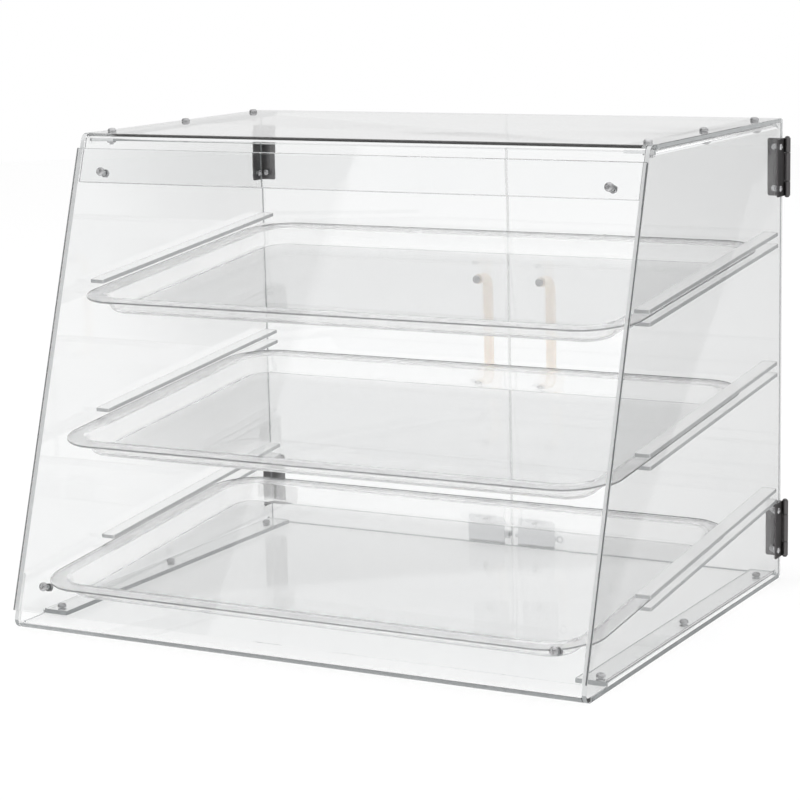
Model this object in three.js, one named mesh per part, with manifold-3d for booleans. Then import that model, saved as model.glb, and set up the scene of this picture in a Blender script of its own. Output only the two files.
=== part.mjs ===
// A clear acrylic counter-top display case with a slanted front, three sloping trays on glued rails,
// and two rear doors with butt hinges, bow handles and a slide bolt.
// Millimetres, +Z up, +Y towards the doors, origin at the middle of the case's footprint on the table.
import * as THREE from "three";
import { mergeVertices } from "three/addons/utils/BufferGeometryUtils.js";
import Module from "manifold-3d";

// Overall sizes
const caseWidth = 560;
const caseHeight = 432;
const caseDepth = 449; // front bottom corner to the rear face of the doors
const topSetback = 137.8; // the top front corner lies this far behind the bottom one
const sheet = 4; // every acrylic panel and rail
const fitGap = 0.3; // between pieces that are screwed or laid against each other
const overrun = 1; // how far a cutting tool runs past what it cuts

// Top and base panels, with the lips that carry the front
const lipBendRadius = 8; // outside of the bend
const baseLipLength = 50.4; // along the slant, from the sharp corner
const topLipLength = 45;
const noseLength = 14; // front end of a side panel that laps the ends of the top and base panels

// Front panel
const frontBottomRise = 16.8; // along the slant, from the bottom corner
const frontTopDrop = 14.2; // along the slant, from the top corner
const frontScrewInset = 30; // from the side of the case
const frontScrewRise = 40.6; // along the slant
const frontScrewDrop = 36;

// Side panels, bent inwards at the top and bottom
const flangeReach = 28; // from the outer face
const flangeBendRadius = 6; // outside of the bend
const flangeScrewInset = 14.2;
const flangeFrontSetback = 45; // bottom flange, behind the bottom front corner
const topFlangeSetback = 10.5; // top flange, behind the top front corner
const flangeRearSetback = 8.5; // both, before the rear edge of the wall
const flangeFrontScrew = 12; // first screw, behind the front end of its flange
const baseRearScrew = 22; // last screw, before the rear end of its flange
const topFrontScrew = 17;
const topRearScrew = 24;
const screwsPerFlange = 3;

// Rails and the trays that they carry
const railWidth = 14;
const railSlot = 6.7; // between a lower and an upper rail
const railFrontY = 138; // front ends, behind the bottom front corner
const railSlope = THREE.MathUtils.degToRad(5.64);
const bottomRailHeight = 46.9; // top of the lowest pair at its front end
const topRailRoom = 144.4; // above the highest pair at its front end
const levelNames = ["bottom", "middle", "top"];
const traySideGap = 6; // from the rim to the side panel
const trayLength = 345;
const trayRim = 14.5;
const trayDepth = 15;
const traySheet = 2.5;
const trayCorner = 45;
const trayRimFillet = 2;
const trayFloorFillet = 6;
const trayWallAngle = THREE.MathUtils.degToRad(65);

// Doors
const doorEndClearance = 0.5; // between a door and the rear edges that it laps
const doorSideInset = 0.5; // door edge, inside the outer face of the case
const doorSeam = 1.5; // between the two doors
const doorTopInset = 1.5;
const doorFootInset = 1.5;

// Hinges
const hingeLength = 53;
const hingeUpperDrop = 45; // middle of the upper hinge, below the top
const hingeLowerRise = 47;
const leafThickness = 1.2;
const leafWidth = 17.5; // from the corner of the case
const leafTrim = 0.6; // between a leaf's edge and the leaf beside it
const barrelRadius = 2.9;
const pinRadius = 1.5;
const pinClearance = 0.15;
const pinCapRadius = 2.3;
const pinCapHeight = 1.4;
const knuckleGap = 0.3;
const hingeScrewPitch = 38;
const sideLeafScrew = 11; // before the rear face of the doors
const doorLeafScrew = 9.5; // inside the outer face of the case

// Bow handles
const handleRadius = 5;
const handlePitch = 104; // between its two screws
const handleHeight = 216; // middle of the grip above the table
const handleInset = 34; // from the middle of the case
const handleReach = 22; // from the door to the middle of the grip
const handleBend = 13;
const handleBoreDepth = 9;

// Slide bolt and its keeper
const latchPlateWidth = 40;
const latchPlateHeight = 29;
const latchPlateThickness = 1.5;
const latchPlateFoot = 2.5; // lower edge above the table
const latchPlateCorner = 3;
const latchInset = 5.6; // bolt plate, from the middle of the case
const keeperInset = 9;
const latchScrewDrop = 5; // below the plate's upper edge
const latchHolePitch = 11.5; // from the screw to each spare hole
const latchHoleRadius = 1.3;
const boltRise = 9.5; // middle of the bolt, above the lower edge of the plates
const boltRadius = 2.2;
const boltClearance = 0.3;
const housingWall = 1.5;
const housingSink = 0.5; // how far the tubes are let into their plates
const housingLength = 26;
const keeperTubeLength = 20;
const keeperTubeOverhang = 3.1; // past the inner edge of its plate
const boltTipOverhang = 4.8; // past the inner edge of the bolt plate, drawn back
const ringInset = 49.5; // middle of the pull ring, from the middle of the case
const ringRadius = 3;
const ringWire = 1.1;

// Fasteners: shank, head, nut
const screw4 = { shank: 2, head: 4, headHeight: 3.1, nut: 3.5, nutHeight: 2.6, tip: 1.6, hole: 2.35 };
const screw3 = { shank: 1.5, head: 2.9, headHeight: 1.5, nut: 2.75, nutHeight: 2.2, tip: 0.8, hole: 1.85 };
const flushHeadRadius = 3.9; // countersunk end under the base
const flushHeadHeight = 1.9;
const flushRecess = 0.2;

// Facets
const bendFacets = 6;
const rodFacets = 12;
const screwFacets = 8; // shanks, heads and the holes that they pass
const nutSides = 6;
const quarterTurn = 90; // degrees
const cornerFacets = 6;
const domeFacets = 3;
const handleSteps = 26;
const ringFacets = 20;

const colours = {
  acrylic: { color: 0xe9eef0, roughness: 0.06, metalness: 0, transparent: true, opacity: 0.3 },
  tray: { color: 0xdfe3e5, roughness: 0.3, metalness: 0, transparent: true, opacity: 0.55 },
  steel: { color: 0xb4b4b8, roughness: 0.22, metalness: 1 },
  gunmetal: { color: 0x3c3a3c, roughness: 0.35, metalness: 0.9 },
  nickel: { color: 0xc4c4c6, roughness: 0.35, metalness: 1 },
  ivory: { color: 0xf6e9d3, roughness: 0.35, metalness: 0 },
};

// Sizes worked out from those above
const halfWidth = caseWidth / 2;
const wallInnerX = halfWidth - sheet;
const lipHalfWidth = wallInnerX - fitGap;
const frontY = -caseDepth / 2;
const doorRearY = caseDepth / 2;
const doorFrontY = doorRearY - sheet;
const wallRearY = doorFrontY - doorEndClearance;
const topFrontY = frontY + topSetback;
const slant = Math.atan2(topSetback, caseHeight);
const slantLength = Math.hypot(topSetback, caseHeight);
const axisX = halfWidth + barrelRadius;
const axisY = doorRearY + barrelRadius;
const screwX = halfWidth - flangeScrewInset;
const railPitch = (caseHeight - bottomRailHeight - topRailRoom) / (levelNames.length - 1);
const trayWidth = caseWidth - 2 * (sheet + traySideGap);

const wasm = await Module();
wasm.setup();

// A closed geometry as a solid that can be joined and cut
function solidOf(geometry) {
  const bare = geometry.index ? geometry.toNonIndexed() : geometry.clone();
  bare.deleteAttribute("normal");
  bare.deleteAttribute("uv");
  const merged = mergeVertices(bare);
  return new wasm.Manifold(
    new wasm.Mesh({
      numProp: 3,
      vertProperties: merged.attributes.position.array,
      triVerts: new Uint32Array(merged.index.array),
    }),
  );
}

function geometryOf(solid) {
  const mesh = solid.getMesh();
  const stride = mesh.numProp;
  const places = new Float32Array(mesh.numVert * 3);
  for (let i = 0; i < mesh.numVert; i++) {
    places.set(mesh.vertProperties.subarray(i * stride, i * stride + 3), i * 3);
  }
  const geometry = new THREE.BufferGeometry();
  geometry.setAttribute("position", new THREE.BufferAttribute(places, 3));
  geometry.setIndex(new THREE.BufferAttribute(mesh.triVerts, 1));
  const flat = geometry.toNonIndexed();
  flat.computeVertexNormals();
  return flat;
}

function joined(solids) {
  return solids.reduce((whole, next) => whole.add(next));
}

function cutBy(solid, tools) {
  return tools.reduce((rest, tool) => rest.subtract(tool), solid);
}

// Points of an arc, both ends included
function arc(x, y, radius, from, to, facets = bendFacets) {
  return Array.from({ length: facets + 1 }, (_, i) => {
    const angle = from + ((to - from) * i) / facets;
    return new THREE.Vector2(x + radius * Math.cos(angle), y + radius * Math.sin(angle));
  });
}

// The plane of an outline and the way it is pushed out: along X it lies in YZ, along Y in XZ
const outlineAxes = {
  x: [new THREE.Vector3(0, 1, 0), new THREE.Vector3(0, 0, 1), new THREE.Vector3(1, 0, 0)],
  y: [new THREE.Vector3(1, 0, 0), new THREE.Vector3(0, 0, 1), new THREE.Vector3(0, -1, 0)],
  z: [new THREE.Vector3(1, 0, 0), new THREE.Vector3(0, 1, 0), new THREE.Vector3(0, 0, 1)],
};

function prism(points, axis, from, to) {
  const geometry = new THREE.ExtrudeGeometry(new THREE.Shape(points), {
    depth: to - from,
    bevelEnabled: false,
  });
  const start = { x: [from, 0, 0], y: [0, to, 0], z: [0, 0, from] }[axis];
  geometry.applyMatrix4(new THREE.Matrix4().makeBasis(...outlineAxes[axis]).setPosition(...start));
  return solidOf(geometry);
}

function block(low, high) {
  const size = high.map((end, i) => end - low[i]);
  const geometry = new THREE.BoxGeometry(...size);
  geometry.translate(...high.map((end, i) => (end + low[i]) / 2));
  return solidOf(geometry);
}

// A block on the right of the case, or its mirror image on the left
function sideBlock(side, [xIn, y0, z0], [xOut, y1, z1]) {
  const ends = [side * xIn, side * xOut].sort((a, b) => a - b);
  return block([ends[0], y0, z0], [ends[1], y1, z1]);
}

function rod(radius, axis, u, v, from, to, facets = rodFacets) {
  return prism(arc(u, v, radius, 0, 2 * Math.PI, facets).slice(1), axis, from, to);
}

// A hole for a screw, as the tool that cuts it
function drill(size, axis, u, v, from, to) {
  return rod(size.hole, axis, u, v, from, to, screwFacets);
}

// A turned piece along +Z from points of radius and height, the lowest first
function turned(points, facets = screwFacets) {
  const geometry = new THREE.LatheGeometry(points, facets);
  geometry.rotateX(Math.PI / 2);
  return solidOf(geometry);
}

// A low domed head, standing on height zero
function domePoints(radius, height) {
  return Array.from({ length: domeFacets + 1 }, (_, i) => {
    const angle = (Math.PI / 2) * (i / domeFacets);
    const share = i === domeFacets ? 0 : Math.cos(angle);
    return new THREE.Vector2(radius * share, height * Math.sin(angle));
  });
}

// A pan-head screw with its head on height zero and a nut under what it grips
function boltWithNut(size, grip) {
  const tipZ = -grip - size.nutHeight - size.tip;
  const body = turned([
    new THREE.Vector2(0, tipZ),
    new THREE.Vector2(size.shank, tipZ),
    new THREE.Vector2(size.shank, 0),
    ...domePoints(size.head, size.headHeight),
  ]);
  const corner = size.nut / Math.cos(Math.PI / nutSides);
  return body.add(rod(corner, "z", 0, 0, -grip - size.nutHeight, -grip, nutSides));
}

// A pan-head screw whose lower end is a countersunk nut, flush under what it grips
function flushBolt(size, grip) {
  const tipZ = -grip + flushRecess;
  return turned([
    new THREE.Vector2(0, tipZ),
    new THREE.Vector2(flushHeadRadius, tipZ),
    new THREE.Vector2(size.shank, tipZ + flushHeadHeight),
    new THREE.Vector2(size.shank, 0),
    ...domePoints(size.head, size.headHeight),
  ]);
}

// A screw that goes into a bore, with no nut
function plainScrew(size, length) {
  return turned([
    new THREE.Vector2(0, -length),
    new THREE.Vector2(size.shank, -length),
    new THREE.Vector2(size.shank, 0),
    ...domePoints(size.head, size.headHeight),
  ]);
}

function named(name, solid, look) {
  const mesh = new THREE.Mesh(geometryOf(solid), new THREE.MeshStandardMaterial(colours[look]));
  mesh.name = name;
  return mesh;
}

// The first, middle and last of a row of screws
function screwRow(from, to) {
  return Array.from({ length: screwsPerFlange }, (_, i) => from + ((to - from) * i) / (screwsPerFlange - 1));
}

const baseFlangeFront = frontY + flangeFrontSetback;
const topFlangeFront = topFrontY + topFlangeSetback;
const flangeRear = wallRearY - flangeRearSetback;
const baseScrewRow = screwRow(baseFlangeFront + flangeFrontScrew, flangeRear - baseRearScrew);
const topScrewRow = screwRow(topFlangeFront + topFrontScrew, flangeRear - topRearScrew);

// Outline of a panel that is bent into a slanted lip at the front, seen from the side.
// The lip goes up from the base and down from the top.
function bentPanelOutline(cornerY, faceZ, up, lipLength) {
  const slantUp = new THREE.Vector2(Math.sin(slant), Math.cos(slant)).multiplyScalar(up);
  const corner = new THREE.Vector2(cornerY, faceZ);
  const insideAngle = Math.acos(slantUp.x);
  const run = lipBendRadius / Math.tan(insideAngle / 2);
  const centre = new THREE.Vector2(cornerY + run, faceZ + up * lipBendRadius);
  const flatAngle = -up * (Math.PI / 2);
  const lipAngle = up > 0 ? -Math.PI - slant : Math.PI - slant;
  const lipEnd = corner.clone().addScaledVector(slantUp, lipLength);
  const inwards = new THREE.Vector2(Math.cos(slant), -Math.sin(slant)).multiplyScalar(sheet);
  const outer = arc(centre.x, centre.y, lipBendRadius, flatAngle, lipAngle);
  const inner = arc(centre.x, centre.y, lipBendRadius - sheet, lipAngle, flatAngle);
  return [
    new THREE.Vector2(wallRearY, faceZ),
    ...outer,
    lipEnd,
    lipEnd.clone().add(inwards),
    ...inner,
    new THREE.Vector2(wallRearY, faceZ + up * sheet),
  ];
}

// Holes through a lip for the front screws, cut square to the slant
function slantHoles(rise) {
  const matrix = new THREE.Matrix4().makeRotationX(-slant).setPosition(0, frontY, 0);
  return [-1, 1].map((side) => {
    const x = side * (halfWidth - frontScrewInset);
    const depth = sheet + overrun;
    const hole = drill(screw4, "y", x, rise, -depth, depth);
    return hole.transform(matrix.toArray());
  });
}

const lowScrewRise = frontScrewRise;
const highScrewRise = slantLength - frontScrewDrop;

// Cuts that let the side panels stand beside the lip and lap the ends of the bend
function noseNotches(cornerY, lipFrom, lipTo) {
  const front = cornerY - lipBendRadius - topSetback;
  const outer = halfWidth + overrun;
  return [-1, 1].flatMap((side) => [
    sideBlock(
      side,
      [lipHalfWidth, front, -overrun],
      [outer, cornerY + noseLength + fitGap, caseHeight + overrun],
    ),
    sideBlock(side, [lipHalfWidth, front, lipFrom], [outer, wallRearY + overrun, lipTo]),
  ]);
}

function basePanel() {
  const slab = prism(bentPanelOutline(frontY, 0, 1, baseLipLength), "x", -halfWidth, halfWidth);
  const countersink = flushHeadRadius + fitGap;
  const sinkHeight = flushHeadHeight + fitGap;
  const holes = [];
  for (const side of [-1, 1]) {
    for (const y of baseScrewRow) {
      const hole = turned([
        new THREE.Vector2(0, -overrun),
        new THREE.Vector2(countersink, -overrun),
        new THREE.Vector2(countersink, 0),
        new THREE.Vector2(screw4.hole, sinkHeight),
        new THREE.Vector2(screw4.hole, sheet + overrun),
        new THREE.Vector2(0, sheet + overrun),
      ]);
      holes.push(hole.translate([side * screwX, y, 0]));
    }
  }
  const notches = noseNotches(frontY, sheet, caseHeight);
  return cutBy(slab, [...notches, ...slantHoles(lowScrewRise), ...holes]);
}

function topPanel() {
  const outline = bentPanelOutline(topFrontY, caseHeight, -1, topLipLength);
  const slab = prism(outline, "x", -halfWidth, halfWidth);
  const holes = [];
  for (const side of [-1, 1]) {
    for (const y of topScrewRow) {
      const from = caseHeight - sheet - overrun;
      holes.push(drill(screw4, "z", side * screwX, y, from, caseHeight + overrun));
    }
  }
  const notches = noseNotches(topFrontY, 0, caseHeight - sheet);
  return cutBy(slab, [...notches, ...slantHoles(highScrewRise), ...holes]);
}

// Flat wall of a side panel, seen from the side: full height at its front end,
// stepped to clear the top and base panels, and cut back where a flange is bent inwards
function wallOutline() {
  const insideFoot = Math.PI / 2 - slant;
  const footRun = lipBendRadius / Math.tan(insideFoot / 2);
  const headRun = lipBendRadius / Math.tan((Math.PI - insideFoot) / 2);
  const top = caseHeight - sheet;
  const lowBend = sheet + flangeBendRadius;
  const highBend = top - flangeBendRadius;
  const foot = arc(frontY + footRun, lipBendRadius, lipBendRadius, -Math.PI - slant, -Math.PI / 2);
  const headZ = caseHeight - lipBendRadius;
  const head = arc(topFrontY + headRun, headZ, lipBendRadius, Math.PI / 2, Math.PI - slant);
  const steps = [
    [frontY + noseLength, 0],
    [frontY + noseLength, sheet],
    [baseFlangeFront, sheet],
    [baseFlangeFront, lowBend],
    [flangeRear, lowBend],
    [flangeRear, sheet],
    [wallRearY, sheet],
    [wallRearY, top],
    [flangeRear, top],
    [flangeRear, highBend],
    [topFlangeFront, highBend],
    [topFlangeFront, top],
    [topFrontY + noseLength, top],
    [topFrontY + noseLength, caseHeight],
  ].map(([y, z]) => new THREE.Vector2(y, z));
  return [...foot, ...steps, ...head];
}

// Flange with its bend, seen along the case: up is 1 at the bottom and -1 at the top
function flangeOutline(side, faceZ, up) {
  const bendX = halfWidth - flangeBendRadius;
  const bendZ = faceZ + up * flangeBendRadius;
  const legEnd = bendZ + up * overrun;
  const quarter = (-up * Math.PI) / 2;
  const points = [
    new THREE.Vector2(halfWidth, legEnd),
    ...arc(bendX, bendZ, flangeBendRadius, 0, quarter),
    new THREE.Vector2(halfWidth - flangeReach, faceZ),
    new THREE.Vector2(halfWidth - flangeReach, faceZ + up * sheet),
    ...arc(bendX, bendZ, flangeBendRadius - sheet, quarter, 0),
    new THREE.Vector2(wallInnerX, legEnd),
  ];
  return points.map((p) => new THREE.Vector2(side * p.x, p.y));
}

function sidePanel(side) {
  const ends = [side * wallInnerX, side * halfWidth].sort((a, b) => a - b);
  const wall = prism(wallOutline(), "x", ...ends);
  const bottomOutline = flangeOutline(side, sheet, 1);
  const topOutline = flangeOutline(side, caseHeight - sheet, -1);
  const whole = joined([
    wall,
    prism(bottomOutline, "y", baseFlangeFront, flangeRear),
    prism(topOutline, "y", topFlangeFront, flangeRear),
  ]);
  const holes = [];
  for (const y of baseScrewRow) {
    holes.push(drill(screw4, "z", side * screwX, y, sheet - overrun, sheet + sheet + overrun));
  }
  for (const y of topScrewRow) {
    const low = caseHeight - sheet - sheet - overrun;
    holes.push(drill(screw4, "z", side * screwX, y, low, caseHeight - sheet + overrun));
  }
  for (const z of hingeScrewHeights()) {
    const from = side > 0 ? wallInnerX - overrun : -halfWidth - overrun;
    const to = from + sheet + overrun + overrun;
    holes.push(drill(screw3, "x", doorRearY - sideLeafScrew, z, from, to));
  }
  return cutBy(whole, holes);
}

// The front panel lies outside the lips, in a frame whose Z runs up the slant
function frontPanel() {
  const plate = block(
    [-halfWidth, -sheet - fitGap, frontBottomRise],
    [halfWidth, -fitGap, slantLength - frontTopDrop],
  );
  const holes = [];
  for (const side of [-1, 1]) {
    for (const rise of [lowScrewRise, highScrewRise]) {
      const x = side * (halfWidth - frontScrewInset);
      holes.push(drill(screw4, "y", x, rise, -sheet - fitGap - overrun, overrun));
    }
  }
  return cutBy(plate, holes);
}

// A rail, in a frame whose Y runs up the slope from the front ends
function rail(side, low) {
  const length = (wallRearY - frontY - railFrontY) / Math.cos(railSlope) - sheet;
  return sideBlock(side, [wallInnerX - railWidth, 0, low], [wallInnerX, length, low + sheet]);
}

// The tray's upper surface from its floor out to its rim, and its underside back again,
// each point with its inset from the rim's outer edge and its height above the rim's underside
function traySection() {
  const cosine = Math.cos(trayWallAngle);
  const sine = Math.sin(trayWallAngle);
  const rimRadius = trayRimFillet + traySheet;
  const wall = (trayDepth - (rimRadius + trayFloorFillet) * (1 - cosine)) / sine;
  const upper = [{ inset: 0, z: traySheet, angle: 0 }];
  for (let i = 0; i <= domeFacets; i++) {
    const angle = (trayWallAngle * i) / domeFacets;
    upper.push({
      inset: trayRim + rimRadius * Math.sin(angle),
      z: traySheet - rimRadius * (1 - Math.cos(angle)),
      angle,
    });
  }
  const foot = upper.at(-1);
  const floorZ = traySheet - trayDepth;
  const floorInset = foot.inset + wall * cosine + trayFloorFillet * sine;
  for (let i = 0; i <= domeFacets; i++) {
    const angle = trayWallAngle * (1 - i / domeFacets);
    upper.push({
      inset: floorInset - trayFloorFillet * Math.sin(angle),
      z: floorZ + trayFloorFillet * (1 - Math.cos(angle)),
      angle,
    });
  }
  const lower = upper.map(({ inset, z, angle }) => ({
    inset: inset - traySheet * Math.sin(angle),
    z: z - traySheet * Math.cos(angle),
  }));
  return [...upper.reverse(), ...lower];
}

// One loop of a rectangle with round corners, inset from the tray's outer edge
function trayLoop({ inset, z }) {
  const radius = trayCorner - inset;
  const reachX = trayWidth / 2 - trayCorner;
  const reachY = trayLength / 2 - trayCorner;
  const centres = [[1, 1], [-1, 1], [-1, -1], [1, -1]];
  return centres.flatMap(([alongX, alongY], i) => {
    const start = (i * Math.PI) / 2;
    const corner = arc(alongX * reachX, alongY * reachY, radius, start, start + Math.PI / 2, cornerFacets);
    return corner.map((p) => new THREE.Vector3(p.x, p.y, z));
  });
}

// A vacuum-formed tray: loops joined into one closed skin, with a flat floor above and below
function tray() {
  const loops = traySection().map(trayLoop);
  const count = loops[0].length;
  const places = loops.flat().flatMap((p) => [p.x, p.y, p.z]);
  const faces = [];
  for (let ring = 0; ring + 1 < loops.length; ring++) {
    for (let i = 0; i < count; i++) {
      const next = (i + 1) % count;
      const a = ring * count + i;
      const b = ring * count + next;
      faces.push(a, a + count, b, b, a + count, b + count);
    }
  }
  const firstCentre = places.length / 3;
  places.push(0, 0, loops[0][0].z, 0, 0, loops.at(-1)[0].z);
  const lastRing = (loops.length - 1) * count;
  for (let i = 0; i < count; i++) {
    const next = (i + 1) % count;
    faces.push(firstCentre, i, next);
    faces.push(firstCentre + 1, lastRing + next, lastRing + i);
  }
  const geometry = new THREE.BufferGeometry();
  geometry.setAttribute("position", new THREE.Float32BufferAttribute(places, 3));
  geometry.setIndex(faces);
  return solidOf(geometry);
}

// How far behind the rails' front ends a tray's front edge stops against what is in front of it
function trayStop(level, stopDepth) {
  const away = new THREE.Vector2(railFrontY, railTop(level));
  const outwards = new THREE.Vector2(-Math.cos(slant), Math.sin(slant));
  const lean = slant + railSlope;
  const reach = away.dot(outwards) + (fitGap + traySheet) * Math.sin(lean) + stopDepth;
  return reach / Math.cos(lean);
}

function railTop(level) {
  return bottomRailHeight + level * railPitch;
}

function hingeScrewHeights() {
  return hingeMiddles().flatMap((z) => [z - hingeScrewPitch / 2, z + hingeScrewPitch / 2]);
}

function hingeMiddles() {
  return [hingeLowerRise, caseHeight - hingeUpperDrop];
}

function doorPanel(side) {
  const plate = sideBlock(
    side,
    [doorSeam / 2, doorFrontY, doorFootInset],
    [halfWidth - doorSideInset, doorRearY, caseHeight - doorTopInset],
  );
  const from = doorFrontY - overrun;
  const to = doorRearY + overrun;
  const holes = handleScrewHeights().map((z) => drill(screw4, "y", side * handleInset, z, from, to));
  for (const z of hingeScrewHeights()) {
    holes.push(drill(screw3, "y", side * (halfWidth - doorLeafScrew), z, from, to));
  }
  const plateMiddle = (side > 0 ? latchInset : keeperInset) + latchPlateWidth / 2;
  holes.push(drill(screw3, "y", side * plateMiddle, latchScrewHeight(), from, to));
  return cutBy(plate, holes);
}

function handleScrewHeights() {
  return [handleHeight - handlePitch / 2, handleHeight + handlePitch / 2];
}

function latchScrewHeight() {
  return latchPlateFoot + latchPlateHeight - latchScrewDrop;
}

// The knuckles of a hinge: the side leaf holds the end ones and the door leaf the middle one
function knuckleSpans(middle, onDoor) {
  const half = hingeLength / 2;
  const quarter = half / 2;
  if (onDoor) {
    return [[middle - quarter + knuckleGap, middle + quarter - knuckleGap]];
  }
  return [
    [middle - half, middle - quarter],
    [middle + quarter, middle + half],
  ];
}

function pinBore(side, low, high) {
  return rod(pinRadius + pinClearance, "z", side * axisX, axisY, low - overrun, high + overrun);
}

// Leaf on the outer face of a side panel
function sideLeaf(side, middle) {
  const low = middle - hingeLength / 2;
  const high = middle + hingeLength / 2;
  const plateEnd = doorRearY - leafTrim;
  const outer = halfWidth + leafThickness;
  const pieces = [sideBlock(side, [halfWidth, doorRearY - leafWidth, low], [outer, plateEnd, high])];
  for (const [from, to] of knuckleSpans(middle, false)) {
    pieces.push(sideBlock(side, [halfWidth, plateEnd - overrun, from], [outer, axisY, to]));
    pieces.push(rod(barrelRadius, "z", side * axisX, axisY, from, to));
  }
  const plate = cutBy(joined(pieces), [pinBore(side, low, high)]);
  return plate.add(leafScrews(middle, (z) => [side * outer, doorRearY - sideLeafScrew, z], [0, side, 0]));
}

// Leaf on the rear face of a door
function doorLeaf(side, middle) {
  const low = middle - hingeLength / 2;
  const high = middle + hingeLength / 2;
  const plateEnd = halfWidth - leafTrim;
  const outer = doorRearY + leafThickness;
  const pieces = [sideBlock(side, [halfWidth - leafWidth, doorRearY, low], [plateEnd, outer, high])];
  for (const [from, to] of knuckleSpans(middle, true)) {
    pieces.push(sideBlock(side, [plateEnd - overrun, doorRearY, from], [axisX, outer, to]));
    pieces.push(rod(barrelRadius, "z", side * axisX, axisY, from, to));
  }
  const plate = cutBy(joined(pieces), [pinBore(side, low, high)]);
  const place = (z) => [side * (halfWidth - doorLeafScrew), outer, z];
  return plate.add(leafScrews(middle, place, [-1, 0, 0]));
}

// Two bolts of a leaf with their nuts inside the case; turn gives quarter turns about X and Y
function leafScrews(middle, place, [turnX, turnY]) {
  const heights = [middle - hingeScrewPitch / 2, middle + hingeScrewPitch / 2];
  return joined(
    heights.map((z) => {
      const bolt = boltWithNut(screw3, leafThickness + sheet);
      return bolt.rotate([turnX * quarterTurn, turnY * quarterTurn, 0]).translate(place(z));
    }),
  );
}

function hingePin(middle) {
  const half = hingeLength / 2 + knuckleGap;
  const cap = domePoints(pinCapRadius, pinCapHeight);
  const top = cap.map((p) => new THREE.Vector2(p.x, p.y + half));
  const bottom = cap.map((p) => new THREE.Vector2(p.x, -p.y - half)).reverse();
  const shank = [new THREE.Vector2(pinRadius, -half), new THREE.Vector2(pinRadius, half)];
  return turned([...bottom, ...shank, ...top], rodFacets).translate([0, 0, middle]);
}

// A bow handle on the rear face of a door, bent from round rod
function bowHandle() {
  const half = handlePitch / 2;
  const bow = new THREE.CurvePath();
  const point = (y, z) => new THREE.Vector3(0, y, z);
  const straight = handleReach - handleBend;
  const lowFoot = [point(0, -half), point(straight, -half)];
  const grip = [point(handleReach, handleBend - half), point(handleReach, half - handleBend)];
  const highFoot = [point(straight, half), point(0, half)];
  bow.add(new THREE.LineCurve3(...lowFoot));
  bow.add(new THREE.QuadraticBezierCurve3(lowFoot[1], point(handleReach, -half), grip[0]));
  bow.add(new THREE.LineCurve3(...grip));
  bow.add(new THREE.QuadraticBezierCurve3(grip[1], point(handleReach, half), highFoot[0]));
  bow.add(new THREE.LineCurve3(...highFoot));
  const section = new THREE.Shape(arc(0, 0, handleRadius, 0, 2 * Math.PI, rodFacets).slice(1));
  const bar = solidOf(new THREE.ExtrudeGeometry(section, { steps: handleSteps, extrudePath: bow }));
  const bores = [-half, half].map((z) => drill(screw4, "y", 0, z, -overrun, handleBoreDepth));
  return cutBy(bar, bores);
}

// A latch plate on the rear face of a door, its outline seen from behind
function latchPlate(inset, side) {
  const near = inset;
  const far = inset + latchPlateWidth;
  const foot = latchPlateFoot;
  const head = foot + latchPlateHeight;
  const round = latchPlateCorner;
  const outline = [
    new THREE.Vector2(near, foot),
    new THREE.Vector2(far, foot),
    ...arc(far - round, head - round, round, 0, Math.PI / 2, domeFacets),
    ...arc(near + round, head - round, round, Math.PI / 2, Math.PI, domeFacets),
  ].map((p) => new THREE.Vector2(side * p.x, p.y));
  const outer = doorRearY + latchPlateThickness;
  const plate = prism(outline, "y", doorRearY, outer);
  const middle = side * (inset + latchPlateWidth / 2);
  const height = latchScrewHeight();
  const spares = [-latchHolePitch, latchHolePitch].map((step) =>
    rod(latchHoleRadius, "y", middle + step, height, doorRearY - overrun, outer + overrun, screwFacets),
  );
  const bolt = boltWithNut(screw3, latchPlateThickness + sheet).rotate([-quarterTurn, 0, 0]);
  return cutBy(plate, spares).add(bolt.translate([middle, outer, height]));
}

const boltHeight = latchPlateFoot + boltRise;
const housingRadius = boltRadius + boltClearance + housingWall;
const boltY = doorRearY + latchPlateThickness + housingRadius - housingSink;

function latchTube(plate, from, to) {
  const tube = rod(housingRadius, "x", boltY, boltHeight, from, to);
  const bore = rod(boltRadius + boltClearance, "x", boltY, boltHeight, from - overrun, to + overrun);
  return cutBy(plate.add(tube), [bore]);
}

function latchHousing() {
  return latchTube(latchPlate(latchInset, 1), latchInset, latchInset + housingLength);
}

function latchKeeper() {
  const mouth = -keeperInset + keeperTubeOverhang;
  return latchTube(latchPlate(keeperInset, -1), mouth - keeperTubeLength, mouth);
}

// The sliding bolt with the ring that pulls it
function latchBolt() {
  const tip = latchInset - boltTipOverhang;
  const shaft = rod(boltRadius, "x", boltY, boltHeight, tip, ringInset - ringRadius);
  const ring = new THREE.TorusGeometry(ringRadius, ringWire, rodFacets / 2, ringFacets);
  ring.rotateX(Math.PI / 2);
  return shaft.add(solidOf(ring).translate([ringInset, boltY, boltHeight]));
}

// Assembly
const displayCase = new THREE.Group();
const body = new THREE.Group();
body.add(named("base_panel", basePanel(), "acrylic"));
body.add(named("top_panel", topPanel(), "acrylic"));
body.add(named("side_panel_left", sidePanel(-1), "acrylic"));
body.add(named("side_panel_right", sidePanel(1), "acrylic"));

const sides = [
  { name: "left", side: -1 },
  { name: "right", side: 1 },
];

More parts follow.
